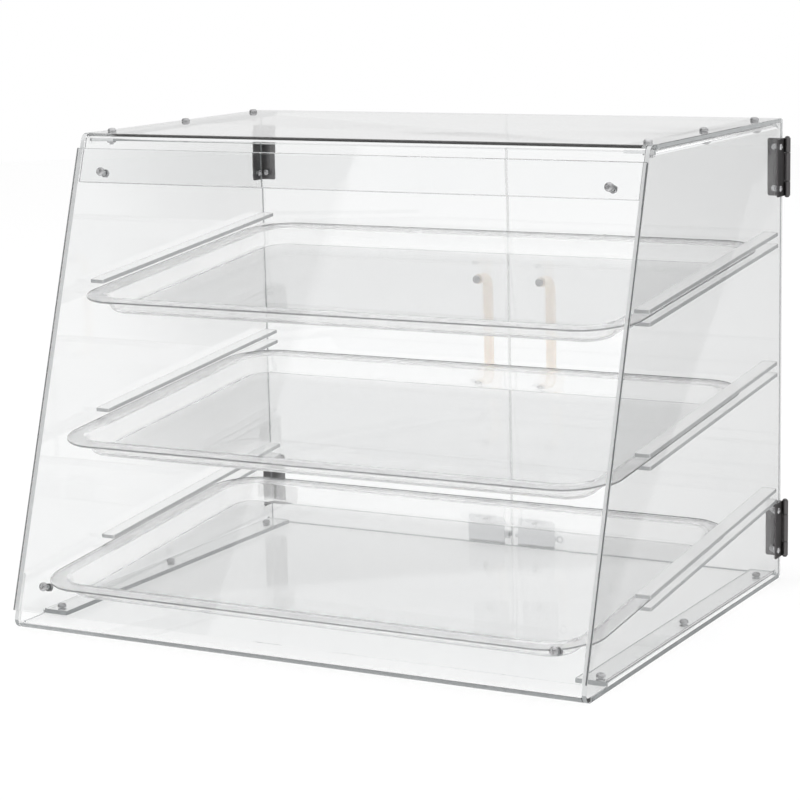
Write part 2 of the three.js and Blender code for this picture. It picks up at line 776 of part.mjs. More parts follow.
const slopedFront = new THREE.Group();
slopedFront.position.set(0, frontY, 0);
slopedFront.rotation.x = -slant;
slopedFront.add(named("front_panel", frontPanel(), "acrylic"));
for (const { name, side } of sides) {
  for (const [level, rise] of Object.entries({ lower: lowScrewRise, upper: highScrewRise })) {
    const grip = sheet + sheet + 3 * fitGap;
    const mesh = named(`front_screw_${name}_${level}`, boltWithNut(screw4, grip), "steel");
    mesh.position.set(side * (halfWidth - frontScrewInset), -sheet - 2 * fitGap, rise);
    mesh.rotation.x = Math.PI / 2;
    slopedFront.add(mesh);
  }
}
body.add(slopedFront);

const rowNames = ["front", "middle", "rear"];
for (const { name, side } of sides) {
  topScrewRow.forEach((y, i) => {
    const mesh = named(`top_screw_${name}_${rowNames[i]}`, boltWithNut(screw4, sheet + sheet), "steel");
    mesh.position.set(side * screwX, y, caseHeight);
    body.add(mesh);
  });
  baseScrewRow.forEach((y, i) => {
    const mesh = named(`base_screw_${name}_${rowNames[i]}`, flushBolt(screw4, sheet + sheet), "steel");
    mesh.position.set(side * screwX, y, sheet + sheet);
    body.add(mesh);
  });
}

levelNames.forEach((levelName, level) => {
  const slope = new THREE.Group();
  slope.position.set(0, frontY + railFrontY, railTop(level));
  slope.rotation.x = railSlope;
  for (const { name, side } of sides) {
    slope.add(named(`rail_${name}_${levelName}_lower`, rail(side, -sheet), "acrylic"));
    slope.add(named(`rail_${name}_${levelName}_upper`, rail(side, railSlot), "acrylic"));
  }
  const stopDepth = level === 0 ? sheet + fitGap : 0;
  const mesh = named(`tray_${levelName}`, tray(), "tray");
  mesh.position.set(0, trayStop(level, stopDepth) + trayLength / 2, fitGap);
  slope.add(mesh);
  body.add(slope);
});

const endNames = ["lower", "upper"];
for (const { name, side } of sides) {
  hingeMiddles().forEach((middle, i) => {
    body.add(named(`hinge_side_leaf_${name}_${endNames[i]}`, sideLeaf(side, middle), "gunmetal"));
    const pin = named(`hinge_pin_${name}_${endNames[i]}`, hingePin(middle), "gunmetal");
    pin.position.set(side * axisX, axisY, 0);
    body.add(pin);
  });
}
displayCase.add(body);

for (const { name, side } of sides) {
  const door = new THREE.Group();
  door.add(named(`door_${name}`, doorPanel(side), "acrylic"));
  hingeMiddles().forEach((middle, i) => {
    door.add(named(`hinge_door_leaf_${name}_${endNames[i]}`, doorLeaf(side, middle), "gunmetal"));
  });
  const handle = named(`handle_${name}`, bowHandle(), "ivory");
  handle.position.set(side * handleInset, doorRearY, handleHeight);
  door.add(handle);
  handleScrewHeights().forEach((z, i) => {
    const length = sheet + handleBoreDepth - fitGap;
    const mesh = named(`handle_screw_${name}_${endNames[i]}`, plainScrew(screw4, length), "steel");
    mesh.position.set(side * handleInset, doorFrontY, z);
    mesh.rotation.x = Math.PI / 2;
    door.add(mesh);
  });
  displayCase.add(door);
  if (side > 0) {
    door.add(named("latch_housing", latchHousing(), "nickel"));
  } else {
    door.add(named("latch_keeper", latchKeeper(), "nickel"));
  }
}
displayCase.add(named("latch_bolt", latchBolt(), "nickel"));

export default displayCase;
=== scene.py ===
# Clear acrylic display case with a slanted front, three trays and two rear doors.
# Metres, +Z up, +Y towards the doors. Sizes in the dictionaries are in millimetres.
import math

import bmesh
import bpy
from mathutils import Matrix, Vector
from mathutils.bvhtree import BVHTree


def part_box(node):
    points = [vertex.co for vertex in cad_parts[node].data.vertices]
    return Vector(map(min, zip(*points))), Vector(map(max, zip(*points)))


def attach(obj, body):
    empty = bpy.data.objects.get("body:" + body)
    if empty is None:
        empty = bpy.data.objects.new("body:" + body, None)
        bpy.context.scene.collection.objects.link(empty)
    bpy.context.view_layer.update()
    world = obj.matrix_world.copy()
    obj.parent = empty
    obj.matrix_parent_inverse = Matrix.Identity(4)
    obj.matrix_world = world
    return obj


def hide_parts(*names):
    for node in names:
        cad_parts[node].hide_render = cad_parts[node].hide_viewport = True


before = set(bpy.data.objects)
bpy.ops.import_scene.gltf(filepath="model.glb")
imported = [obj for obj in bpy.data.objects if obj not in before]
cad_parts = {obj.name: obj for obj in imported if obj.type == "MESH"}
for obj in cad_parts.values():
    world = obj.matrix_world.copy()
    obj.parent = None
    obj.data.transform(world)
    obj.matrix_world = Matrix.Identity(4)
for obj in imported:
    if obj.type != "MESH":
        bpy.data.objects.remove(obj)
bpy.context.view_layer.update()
scene = bpy.context.scene
mm = 0.001
sides = {"left": -1, "right": 1}
ends = ("lower", "upper")
levels = ("bottom", "middle", "top")
print("frame loaded:", len(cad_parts), "nodes")


def addObject(name, data):
    piece = bpy.data.objects.new(name, data)
    scene.collection.objects.link(piece)
    return piece


# Camera: turned and raised round a point on the axis of the case
viewpoint = {
    "azimuth": 28.62,
    "elevation": 10.44,
    "roll": -1.25,
    "lens": 113.2,
    "offset": (9.3, -6.6, 2257.5),
    "aim": (0, -24.5, 200),
}


def makeCamera(look):
    azimuth, elevation = math.radians(look["azimuth"]), math.radians(look["elevation"])
    level = math.cos(elevation)
    back = Vector((math.sin(azimuth) * level, -math.cos(azimuth) * level, math.sin(elevation)))
    right = Vector((math.cos(azimuth), math.sin(azimuth), 0))
    turn = Matrix((right, back.cross(right), back)).transposed()
    turn = turn @ Matrix.Rotation(math.radians(look["roll"]), 3, "Z")
    lens = bpy.data.cameras.new("photoCamera")
    lens.lens = look["lens"]
    lens.sensor_width = 36
    lens.clip_start, lens.clip_end = 0.05, 60
    camera = addObject("photoCamera", lens)
    camera.matrix_world = turn.to_4x4()
    camera.location = (Vector(look["aim"]) + turn @ Vector(look["offset"])) * mm
    scene.camera = camera


makeCamera(viewpoint)
print("camera placed")


# Node helpers: the value for a socket is another node's socket, or a plain value
def fill(tree, node, values):
    for name, value in values.items():
        if isinstance(value, bpy.types.NodeSocket):
            tree.links.new(value, node.inputs[name])
        elif value is not None:
            node.inputs[name].default_value = value


def addNode(tree, kind, values=None, **settings):
    node = tree.nodes.new(kind)
    for key, value in settings.items():
        setattr(node, key, value)
    fill(tree, node, values or {})
    return node


def newGroup(name, inputs, outputs, treeKind="ShaderNodeTree"):
    # inputs: label, then kind of socket and value; outputs: label, then kind of socket
    group = bpy.data.node_groups.new(name, treeKind)
    for label, (kind, value) in inputs.items():
        socket = group.interface.new_socket(label, in_out="INPUT", socket_type=f"NodeSocket{kind}")
        if value is not None:
            socket.default_value = value
    for label, kind in outputs.items():
        group.interface.new_socket(label, in_out="OUTPUT", socket_type=f"NodeSocket{kind}")
    return group, addNode(group, "NodeGroupInput").outputs, addNode(group, "NodeGroupOutput")


def mathNode(tree, operation, first, second=None, clamp=False):
    terms = {0: first, 1: second}
    return addNode(tree, "ShaderNodeMath", terms, operation=operation, use_clamp=clamp).outputs[0]


def mixColour(tree, factor, first, second):
    return addNode(tree, "ShaderNodeMix", {0: factor, 6: first, 7: second}, data_type="RGBA").outputs[2]


def mixValue(tree, factor, first, second):
    return addNode(tree, "ShaderNodeMix", {0: factor, 2: first, 3: second}, data_type="FLOAT").outputs[0]


def mapValue(tree, source, low, high):
    values = {"Value": source, "To Min": low, "To Max": high}
    return addNode(tree, "ShaderNodeMapRange", values).outputs["Result"]


def hairlineGroup():
    # Hairline scuffs in two directions, from the zero crossings of drawn-out noise
    group, entry, out = newGroup(
        "hairlines",
        {
            "Vector": ("Vector", None), "Density": ("Float", 60.0), "Length": ("Float", 30.0),
            "Amount": ("Float", 0.5),
        },
        {"Mask": "Float"},
    )
    directions, sharpness = (0.35, 1.9), 55.0
    masks = []
    for turn in directions:
        turned = addNode(
            group, "ShaderNodeMapping", {"Vector": entry["Vector"], "Rotation": (turn, turn * 0.7, turn)}
        ).outputs["Vector"]
        along = mathNode(group, "DIVIDE", entry["Density"], entry["Length"])
        stretch = addNode(
            group, "ShaderNodeCombineXYZ", {"X": entry["Density"], "Y": along, "Z": entry["Density"]}
        ).outputs["Vector"]
        drawn = addNode(group, "ShaderNodeVectorMath", {0: turned, 1: stretch}, operation="MULTIPLY").outputs[0]
        fine = {"Vector": drawn, "Scale": 1, "Detail": 3, "Roughness": 0.7}
        noise = addNode(group, "ShaderNodeTexNoise", fine)
        off = mathNode(group, "ABSOLUTE", mathNode(group, "SUBTRACT", noise.outputs["Fac"], 0.5))
        masks.append(mathNode(group, "SUBTRACT", 1.0, mathNode(group, "MULTIPLY", off, sharpness), clamp=True))
    fill(group, out, {"Mask": mathNode(group, "MULTIPLY", mathNode(group, "MAXIMUM", *masks), entry["Amount"])})
    return group


def handlingGroup():
    # Soft smudges left by wiping and handling
    group, entry, out = newGroup(
        "handling",
        {"Vector": ("Vector", None), "Scale": ("Float", 6.0), "Clean": ("Float", 0.45)},
        {"Mask": "Float", "Drift": "Float"},
    )
    broad = {
        "Vector": entry["Vector"], "Scale": entry["Scale"], "Detail": 4, "Roughness": 0.55, "Distortion": 0.6,
    }
    drift = addNode(group, "ShaderNodeTexNoise", broad).outputs["Fac"]
    reach = {"Value": drift, "From Min": entry["Clean"], "From Max": 0.8, "To Min": 0, "To Max": 1}
    mask = addNode(group, "ShaderNodeMapRange", reach).outputs["Result"]
    fill(group, out, {"Mask": mask, "Drift": drift})
    return group


def grainAndGlintsGroup():
    # Fine grain, which Stretch draws out along each axis. On the plated steel its Tone gives painted glints and
    # painted shade
    group, entry, out = newGroup(
        "grainAndPaintedGlints",
        {"Vector": ("Vector", None), "Stretch": ("Vector", (4000.0, 4000.0, 60.0))},
        {"Height": "Float", "Tone": "Float"},
    )
    drawn = addNode(
        group, "ShaderNodeVectorMath", {0: entry["Vector"], 1: entry["Stretch"]}, operation="MULTIPLY"
    ).outputs["Vector"]
    fine = addNode(group, "ShaderNodeTexNoise", {"Vector": drawn, "Scale": 1, "Detail": 2})
    coarse = addNode(group, "ShaderNodeTexNoise", {"Vector": drawn, "Scale": 0.25, "Detail": 3})
    fill(group, out, {"Height": fine.outputs["Fac"], "Tone": coarse.outputs["Fac"]})
    return group


hairlines, handling, grainAndPaintedGlints = hairlineGroup(), handlingGroup(), grainAndGlintsGroup()


def placeGroup(tree, group, vector, **values):
    inputs = {label.capitalize(): value for label, value in values.items()}
    return addNode(tree, "ShaderNodeGroup", {"Vector": vector, **inputs}, node_tree=group).outputs


def startMaterial(name, **plain):
    material = bpy.data.materials.new(name)
    material.use_nodes = True
    tree = material.node_tree
    shader = tree.nodes["Principled BSDF"]
    fill(tree, shader, {label.replace("_", " "): value for label, value in plain.items()})
    return material, tree, shader, addNode(tree, "ShaderNodeTexCoord").outputs["Object"]


def bumpFrom(tree, height, strength, distance):
    values = {"Height": height, "Strength": strength, "Distance": distance}
    return addNode(tree, "ShaderNodeBump", values).outputs["Normal"]


def heldBack(tree, share, body):
    # Shadow and diffuse rays pass the clear pieces, so these cast almost no shadow
    path = addNode(tree, "ShaderNodeLightPath").outputs
    passing = mathNode(tree, "MAXIMUM", path["Is Shadow Ray"], path["Is Diffuse Ray"])
    return mathNode(tree, "SUBTRACT", body, mathNode(tree, "MULTIPLY", passing, body * share))


# Clear pieces. The base mirrors less than the upright sheets do. The trays' thin formed plastic bends light
# little, so that it stays clear at a low angle.
sheetWear = {
    "roughness": (0.0, 0.012), "scuffs": (160.0, 40.0, 0.35), "smudges": (7.0, 0.5), "pattern": "Mask",
    "passing": 1.0, "body": 1.0, "glass": 1.0, "bend": 1.49,
}
trayWear = {
    "roughness": (0.0, 0.008), "scuffs": (110.0, 25.0, 0.5), "smudges": (5.0, 0.4), "pattern": "Drift",
    "passing": 0.95,
}
clearLooks = {
    "clearAcrylic": {**sheetWear, "clean": (0.992, 0.995, 0.995, 1), "handled": (0.98, 0.985, 0.986, 1)},
    "baseAcrylic": {
        **sheetWear, "clean": (0.985, 0.988, 0.988, 1), "handled": (0.973, 0.978, 0.979, 1), "bend": 1.12,
    },
    "doorAcrylic": {**sheetWear, "clean": (0.96, 0.964, 0.965, 1), "handled": (0.95, 0.954, 0.956, 1)},
    # The rails are half white instead of clear, paler than the sheets of the same acrylic: painted light on
    # their faces
    "railAcrylic": {
        **sheetWear, "clean": (0.99, 0.99, 0.99, 1), "handled": (0.97, 0.972, 0.975, 1),
        "roughness": (0.02, 0.06), "glass": 0.5,
    },
    "formedTrayWall": {
        **trayWear, "clean": (0.99, 0.99, 0.99, 1), "handled": (0.975, 0.977, 0.978, 1),
        "glass": 0.8, "bend": 1.16, "body": 0.7,
    },
    # The floor copy is greyer than the walls of the same sheet: painted shade
    "formedTrayFloorPaintedShade": {
        **trayWear, "clean": (0.905, 0.908, 0.909, 1), "handled": (0.885, 0.888, 0.89, 1),
        "glass": 1.0, "bend": 1.06, "body": 0.85,
    },
}


def clearMaterial(name, look):
    material, tree, shader, place = startMaterial(
        name, Transmission_Weight=look["glass"], IOR=look["bend"], Metallic=0.0
    )
    density, length, amount = look["scuffs"]
    scale, clean = look["smudges"]
    scuffs = placeGroup(tree, hairlines, place, density=density, length=length, amount=amount)
    pattern = placeGroup(tree, handling, place, scale=scale, clean=clean)[look["pattern"]]
    fill(tree, shader, {
        "Base Color": mixColour(tree, pattern, look["clean"], look["handled"]),
        "Roughness": mapValue(tree, pattern, *look["roughness"]),
        "Normal": bumpFrom(tree, scuffs["Mask"], 0.03, 0.00001),
        "Alpha": heldBack(tree, look["passing"], look["body"]),
    })
    return material


# A sawn and polished edge gathers the light of the whole sheet and shows as a line. Here that line is painted:
# a flat grey, darker as painted shade or paler as painted light, in its own copy for each place
paintedEdgeLooks = {
    "front": {"low": (0.1, 0.108, 0.11, 1), "high": (0.17, 0.18, 0.184, 1), "body": 0.9},
    "case": {"low": (0.3, 0.315, 0.32, 1), "high": (0.42, 0.435, 0.44, 1), "body": 0.85},
    "top": {"low": (0.42, 0.435, 0.44, 1), "high": (0.56, 0.575, 0.58, 1), "body": 0.85},
    "nose": {"low": (0.78, 0.79, 0.795, 1), "high": (0.92, 0.93, 0.935, 1), "body": 0.75},
    "door": {"low": (0.5, 0.515, 0.52, 1), "high": (0.62, 0.635, 0.64, 1), "body": 0.45},
    "rail": {"low": (0.36, 0.37, 0.375, 1), "high": (0.46, 0.47, 0.475, 1), "body": 0.85},
    "tray": {"low": (0.1, 0.105, 0.107, 1), "high": (0.2, 0.206, 0.21, 1), "body": 0.9},
}


def paintedEdgeMaterial(name, look):
    material, tree, shader, place = startMaterial(f"{name}EdgePaintedLightShade", IOR=1.49)
    saw = placeGroup(tree, grainAndPaintedGlints, place, stretch=(900.0, 900.0, 900.0))
    scuffs = placeGroup(tree, hairlines, place, density=300.0, length=6.0, amount=0.6)
    # Painted shade or light: the edge's flat grey, with a random grain in it
    fill(tree, shader, {
        "Base Color": mixColour(tree, saw["Tone"], look["low"], look["high"]),
        "Roughness": mapValue(tree, saw["Tone"], 0.12, 0.3),
        "Normal": bumpFrom(tree, scuffs["Mask"], 0.2, 0.00002),
        "Alpha": heldBack(tree, 0.9, look["body"]),
    })
    return material


metalLooks = {
    # The plated steel's dark and bright lie far apart, so that its patches are painted glints and painted shade
    # on the screws and nuts
    "platedSteel": {
        "dark": (0.03, 0.03, 0.032, 1), "bright": (0.96, 0.96, 0.97, 1), "roughness": (0.06, 0.12),
        "stretch": (420.0, 420.0, 420.0), "grain": 0.1,
    },
    "darkHingeSteel": {
        "dark": (0.08, 0.077, 0.078, 1), "bright": (0.17, 0.163, 0.166, 1), "roughness": (0.24, 0.42),
        "stretch": (3000.0, 3000.0, 70.0), "grain": 0.25,
    },
    "satinNickel": {
        "dark": (0.86, 0.86, 0.87, 1), "bright": (0.97, 0.97, 0.98, 1), "roughness": (0.3, 0.44),
        "stretch": (70.0, 3000.0, 3000.0), "grain": 0.2,
    },
}


def metalMaterial(name, look):
    material, tree, shader, place = startMaterial(name, Metallic=1.0)
    lines = placeGroup(tree, grainAndPaintedGlints, place, stretch=look["stretch"])
    marks = placeGroup(tree, handling, place, scale=45.0, clean=0.5)
    worn = mathNode(tree, "MULTIPLY", marks["Mask"], 0.12)
    # The grain's tone sets the colour: real grain on the hinges and nickel, painted glints and shade on the
    # plated steel
    fill(tree, shader, {
        "Base Color": mixColour(tree, lines["Tone"], look["dark"], look["bright"]),
        "Roughness": mathNode(tree, "ADD", mapValue(tree, lines["Tone"], *look["roughness"]), worn, clamp=True),
        "Normal": bumpFrom(tree, lines["Height"], look["grain"], 0.00004),
    })
    return material


ivoryLook = {"light": (1.0, 0.93, 0.86, 1), "deep": (0.98, 0.87, 0.78, 1), "roughness": (0.22, 0.36)}


def ivoryMaterial(look):
    material, tree, shader, place = startMaterial(
        "ivoryPlastic", IOR=1.5, Subsurface_Weight=0.15, Subsurface_Scale=0.003,
        Subsurface_Radius=(1.0, 0.7, 0.45),
    )
    flow = placeGroup(tree, handling, place, scale=38.0, clean=0.35)
    scuffs = placeGroup(tree, hairlines, place, density=420.0, length=18.0, amount=0.4)
    fill(tree, shader, {
        "Base Color": mixColour(tree, flow["Drift"], look["light"], look["deep"]),
        "Roughness": mapValue(tree, flow["Drift"], *look["roughness"]),
        "Normal": bumpFrom(tree, scuffs["Mask"], 0.15, 0.00003),
    })
    return material


clears = {name: clearMaterial(name, look) for name, look in clearLooks.items()}
paintedEdgeMaterials = {name: paintedEdgeMaterial(name, look) for name, look in paintedEdgeLooks.items()}
steel, gunmetal, nickel = (metalMaterial(name, look) for name, look in metalLooks.items())
ivory = ivoryMaterial(ivoryLook)
print("materials made")


# Mesh helpers: everything is laid down in place, in millimetres
def frameAxes(axis):
    return {"x": (1, 2, 0), "y": (0, 2, 1), "z": (0, 1, 2)}[axis]


def placePoint(axis, u, v, along):
    point = [0.0, 0.0, 0.0]
    for slot, value in zip(frameAxes(axis), (u, v, along)):
        point[slot] = value * mm
    return Vector(point)


def loftInto(mesh, rings, closeEnds=True):
    rows = [[mesh.verts.new(point) for point in ring] for ring in rings]
    count = len(rows[0])
    for lower, upper in zip(rows, rows[1:]):
        for i in range(count):
            j = (i + 1) % count
            mesh.faces.new((lower[i], lower[j], upper[j], upper[i]))
    if closeEnds:
        mesh.faces.new(rows[0][::-1])
        mesh.faces.new(rows[-1])


def prismInto(mesh, outline, axis, start, end):
    loftInto(mesh, [[placePoint(axis, u, v, along) for u, v in outline] for along in (start, end)])


def circle(u, v, radius, segments=40):
    return [
        (u + radius * math.cos(2 * math.pi * i / segments), v + radius * math.sin(2 * math.pi * i / segments))
        for i in range(segments)
    ]


def turnedInto(mesh, axis, centre, profile, segments=40, closeEnds=True):
    # Profile points are (radius, place along the axis)
    rings = []
    for radius, along in profile:
        rings.append([placePoint(axis, u, v, along) for u, v in circle(*centre, radius, segments)])
    loftInto(mesh, rings, closeEnds)


def tubeInto(mesh, axis, centre, outer, inner, start, end, chamfer=0.25, segments=40):
    profile = [
        (inner, start), (outer - chamfer, start), (outer, start + chamfer), (outer, end - chamfer),
        (outer - chamfer, end), (inner, end), (inner, start),
    ]
    turnedInto(mesh, axis, centre, profile, segments, closeEnds=False)


def roundedRect(low, high, radii, segments=8):
    # Corners in order: low-low, high-low, high-high, low-high
    (u0, v0), (u1, v1) = low, high
    corners = [(u0, v0, 1, 1, 1.0), (u1, v0, -1, 1, 1.5), (u1, v1, -1, -1, 0), (u0, v1, 1, -1, 0.5)]
    points = []
    for (u, v, inU, inV, halfTurns), radius in zip(corners, radii):
        if radius == 0:
            points.append((u, v))
            continue
        for i in range(segments + 1):
            angle = halfTurns * math.pi + 0.5 * math.pi * i / segments
            across, up = inU * radius + radius * math.cos(angle), inV * radius + radius * math.sin(angle)
            points.append((u + across, v + up))
    return points


def toMesh(piece):
    bpy.context.view_layer.update()
    evaluated = piece.evaluated_get(bpy.context.evaluated_depsgraph_get())
    made = bpy.data.meshes.new_from_object(evaluated)
    piece.modifiers.clear()
    piece.data = made
    return piece


def objectFrom(name, mesh):
    bmesh.ops.remove_doubles(mesh, verts=mesh.verts, dist=1e-7)
    bmesh.ops.recalc_face_normals(mesh, faces=mesh.faces)
    data = bpy.data.meshes.new(name)
    mesh.to_mesh(data)
    mesh.free()
    return addObject(name, data)


def cutAway(piece, cutter):
    cut = piece.modifiers.new("cut", "BOOLEAN")
    cut.operation, cut.solver, cut.use_self, cut.object = "DIFFERENCE", "EXACT", True, cutter
    toMesh(piece)
    bpy.data.objects.remove(cutter)
    return piece


def finishEdges(piece, bevel, material, bevelAngle=50, smoothAngle=22, segments=2, flatness=50):
    # Broken edges, then smooth bends between flat faces
    if bevel:
        edges = piece.modifiers.new("brokenEdges", "BEVEL")
        edges.width, edges.segments = bevel * mm, segments
        edges.limit_method, edges.angle_limit = "ANGLE", math.radians(bevelAngle)
        edges.use_clamp_overlap, edges.material = True, 0
        toMesh(piece)
    piece.data.shade_smooth()
    piece.data.set_sharp_from_angle(angle=math.radians(smoothAngle))
    flat = piece.modifiers.new("flatFaces", "WEIGHTED_NORMAL")
    flat.keep_sharp, flat.weight = True, flatness
    toMesh(piece)
    if material:
        piece.data.materials.clear()
        piece.data.materials.append(material)
    return piece


def settle(piece, body, slot, *nodes):
    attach(piece, body)
    if nodes:
        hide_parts(*nodes)


def camel(words):
    first, *rest = words.split("_")
    return first + "".join(word.capitalize() for word in rest)


def middleOf(node):
    # Middle of a node's box, in millimetres
    low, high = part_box(node)
    return [(a + b) / 2 / mm for a, b in zip(low, high)]


# Acrylic sheets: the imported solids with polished, broken edges
sheetLook = {
    "bevel": 0.4, "sheet": 4.0, "edgeDepth": 1.3, "airGap": 0.03, "flatAngle": 0.5,
    "slanted": 0.1, "highFront": 0.2, "footBend": (-0.97, -0.45),
}


def markSawnEdges(piece, look):
    # A face with more than a sheet's thickness behind it is a sawn edge. It takes slot 1, the painted shade of
    # the edges
    data = piece.data
    tree = BVHTree.FromPolygons([v.co for v in data.vertices], [p.vertices for p in data.polygons])
    depth = look["sheet"] * look["edgeDepth"] * mm
    for polygon in data.polygons:
        hit = tree.ray_cast(polygon.center - polygon.normal * 1e-5, -polygon.normal)
        polygon.material_index = 1 if hit[3] is not None and hit[3] > depth else 0


def paintLightOnFrontEdges(piece, look):
    # The slanted front edges and the top flange's end lie behind the front panel and get the paler grey:
    # painted light
    for polygon in piece.data.polygons:
        slanted = polygon.normal.z > look["slanted"] or polygon.center.z > look["highFront"]
        if polygon.material_index == 1 and polygon.normal.y < -0.5 and slanted:
            polygon.material_index = 2


def paintShadeOnFootBend(piece, look):
    # The bend along the foot of the front takes the grey of the edges: painted shade
    low, high = look["footBend"]
    for polygon in piece.data.polygons:
        if low < polygon.normal.z < high and polygon.normal.y < -0.1:
            polygon.material_index = 1


def drawIn(mesh, gap):
    # A hair of air, so that sheets that lie on each other stay two surfaces. Every face moves in evenly.
    moves = []
    for vertex in mesh.verts:
        square, total = Matrix.Identity(3) * 1e-6, Vector()
        for face in vertex.link_faces:
            n = face.normal
            square += Matrix([n * part for part in n])
            total += n
        moves.append(square.inverted() @ total * gap * mm)
    for vertex, move in zip(mesh.verts, moves):
        vertex.co -= move


def acrylicSheet(node, body, face, edge, look):
    mesh = bmesh.new()
    mesh.from_mesh(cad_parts[node].data)
    bmesh.ops.remove_doubles(mesh, verts=mesh.verts, dist=1e-6)
    flat = math.radians(look["flatAngle"])
    bmesh.ops.dissolve_limit(mesh, angle_limit=flat, verts=mesh.verts, edges=mesh.edges)
    mesh.normal_update()
    drawIn(mesh, look["airGap"])
    piece = objectFrom(camel(node) + "Sheet", mesh)
    piece.data.materials.append(clears[f"{face}Acrylic"])
    piece.data.materials.append(paintedEdgeMaterials[edge])
    markSawnEdges(piece, look)
    if node.startswith("side_panel"):
        piece.data.materials.append(paintedEdgeMaterials["nose"])
        paintLightOnFrontEdges(piece, look)
    if node == "base_panel":
        paintShadeOnFootBend(piece, look)
    finishEdges(piece, look["bevel"], None, flatness=100)
    settle(piece, body, "acrylic", node)


acrylicSheet("front_panel", "case", "clear", "front", sheetLook)
acrylicSheet("top_panel", "case", "clear", "top", sheetLook)
acrylicSheet("base_panel", "case", "base", "case", sheetLook)
for side in sides:
    acrylicSheet(f"side_panel_{side}", "case", "clear", "case", sheetLook)
for side in sides:
    acrylicSheet(f"door_{side}", f"door_{side}", "door", "door", sheetLook)
    for level in levels:
        for end in ends:
            acrylicSheet(f"rail_{side}_{level}_{end}", "case", "rail", "rail", sheetLook)
print("acrylic sheets made")

# Trays: one skin of loops, from the middle of the floor out over the rim and back under it
trayShape = {
    "width": 540, "length": 345, "corner": 45, "rim": 14.5, "depth": 15, "sheet": 2.5,
    "rimFillet": 2, "floorFillet": 6, "wallAngle": 65, "slope": 5.64, "edgeRound": 0.9,
    "cornerSegments": 18, "filletSegments": 7, "edgeDepth": 1.35, "flatFrom": 0.985, "underFrom": -0.2,
}


def traySection(shape):
    angle = math.radians(shape["wallAngle"])
    thick = shape["sheet"]
    rimRadius = shape["rimFillet"] + thick
    floorRadius = shape["floorFillet"]
    drop = shape["depth"] - (rimRadius + floorRadius) * (1 - math.cos(angle))
    steps = shape["filletSegments"]
    upper = []
    for i in range(steps + 1):
        a = angle * i / steps
        upper.append((shape["rim"] + rimRadius * math.sin(a), thick - rimRadius * (1 - math.cos(a)), a))
    footInset = upper[-1][0] + drop / math.tan(angle) + floorRadius * math.sin(angle)
    floorHeight = thick - shape["depth"]
    for i in range(steps + 1):
        a = angle * (1 - i / steps)
        upper.append((footInset - floorRadius * math.sin(a), floorHeight + floorRadius * (1 - math.cos(a)), a))
    lower = [(inset - thick * math.sin(a), height - thick * math.cos(a)) for inset, height, a in upper]
    bend = shape["edgeRound"]
    edge = []
    for start, middle in ((90, thick - bend), (180, bend)):
        for i in range(4):
            a = math.radians(start + 90 * i / 3)
            edge.append((bend + bend * math.cos(a), middle + bend * math.sin(a)))
    return [(inset, height) for inset, height, a in reversed(upper)] + edge + lower


def trayRing(shape, inset, height, origin):
    radius = shape["corner"] - inset
    reachX = shape["width"] / 2 - shape["corner"]
    reachY = shape["length"] / 2 - shape["corner"]
    slope = math.radians(shape["slope"])
    ring = []
    for turn, (signX, signY) in enumerate(((1, 1), (-1, 1), (-1, -1), (1, -1))):
        for i in range(shape["cornerSegments"] + 1):
            angle = math.pi / 2 * (turn + i / shape["cornerSegments"])
            x = signX * reachX + radius * math.cos(angle)
            y = signY * reachY + radius * math.sin(angle)
            back = origin[0] + y * math.cos(slope) - height * math.sin(slope)
            up = origin[1] + y * math.sin(slope) + height * math.cos(slope)
            ring.append(Vector((x, back, up)) * mm)
    return ring


def makeTray(level, shape):
    low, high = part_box(f"tray_{level}")
    slope, half = math.radians(shape["slope"]), shape["length"] / 2
    originY = (low.y + high.y) / 2 / mm + shape["sheet"] * math.sin(slope) / 2
    originZ = high.z / mm - half * math.sin(slope) - shape["sheet"] * math.cos(slope)
    mesh = bmesh.new()
    loftInto(mesh, [trayRing(shape, inset, height, (originY, originZ)) for inset, height in traySection(shape)])
    piece = objectFrom(f"formedTray{level.capitalize()}", mesh)
    for material in (clears["formedTrayWall"], paintedEdgeMaterials["tray"], clears["formedTrayFloorPaintedShade"]):
        piece.data.materials.append(material)
    markSawnEdges(piece, shape)
    # The floor and the rim's flat top take the greyer copy of the plastic, painted shade, and the underside
    # shows no edge
    for polygon in piece.data.polygons:
        if polygon.loop_total > 4 or polygon.normal.z > shape["flatFrom"]:
            polygon.material_index = 2
        elif polygon.normal.z < shape["underFrom"]:
            polygon.material_index = 0
    finishEdges(piece, 0, None, smoothAngle=30)
    settle(piece, f"tray_{level}", "tray", f"tray_{level}")


for level in levels:
    makeTray(level, trayShape)
print("trays made")

# Hinges: leaves with rolled knuckles, and pins with domed ends
hingeShape = {
    "length": 53, "leaf": 1.2, "reach": 17.5, "trim": 0.6, "corner": 2, "barrel": 2.9, "bore": 1.65,
    "pin": 1.5, "cap": 2.3, "capHeight": 1.4, "capAngles": (0, 20, 40, 60, 78, 88), "gap": 0.3, "bevel": 0.22,
    "wall": 280, "rear": 224.5, "screwStep": 19, "sideScrewIn": 11, "doorScrewIn": 9.5,
}


def hingeMiddle(side, end):
    return middleOf(f"hinge_pin_{side}_{end}")[2]


def hingeAxis(side, shape):
    return (side * (shape["wall"] + shape["barrel"]), shape["rear"] + shape["barrel"])


def knuckles(mesh, shape, side, spans):
    for start, end in spans:
        tubeInto(mesh, "z", hingeAxis(side, shape), shape["barrel"], shape["bore"], start, end)


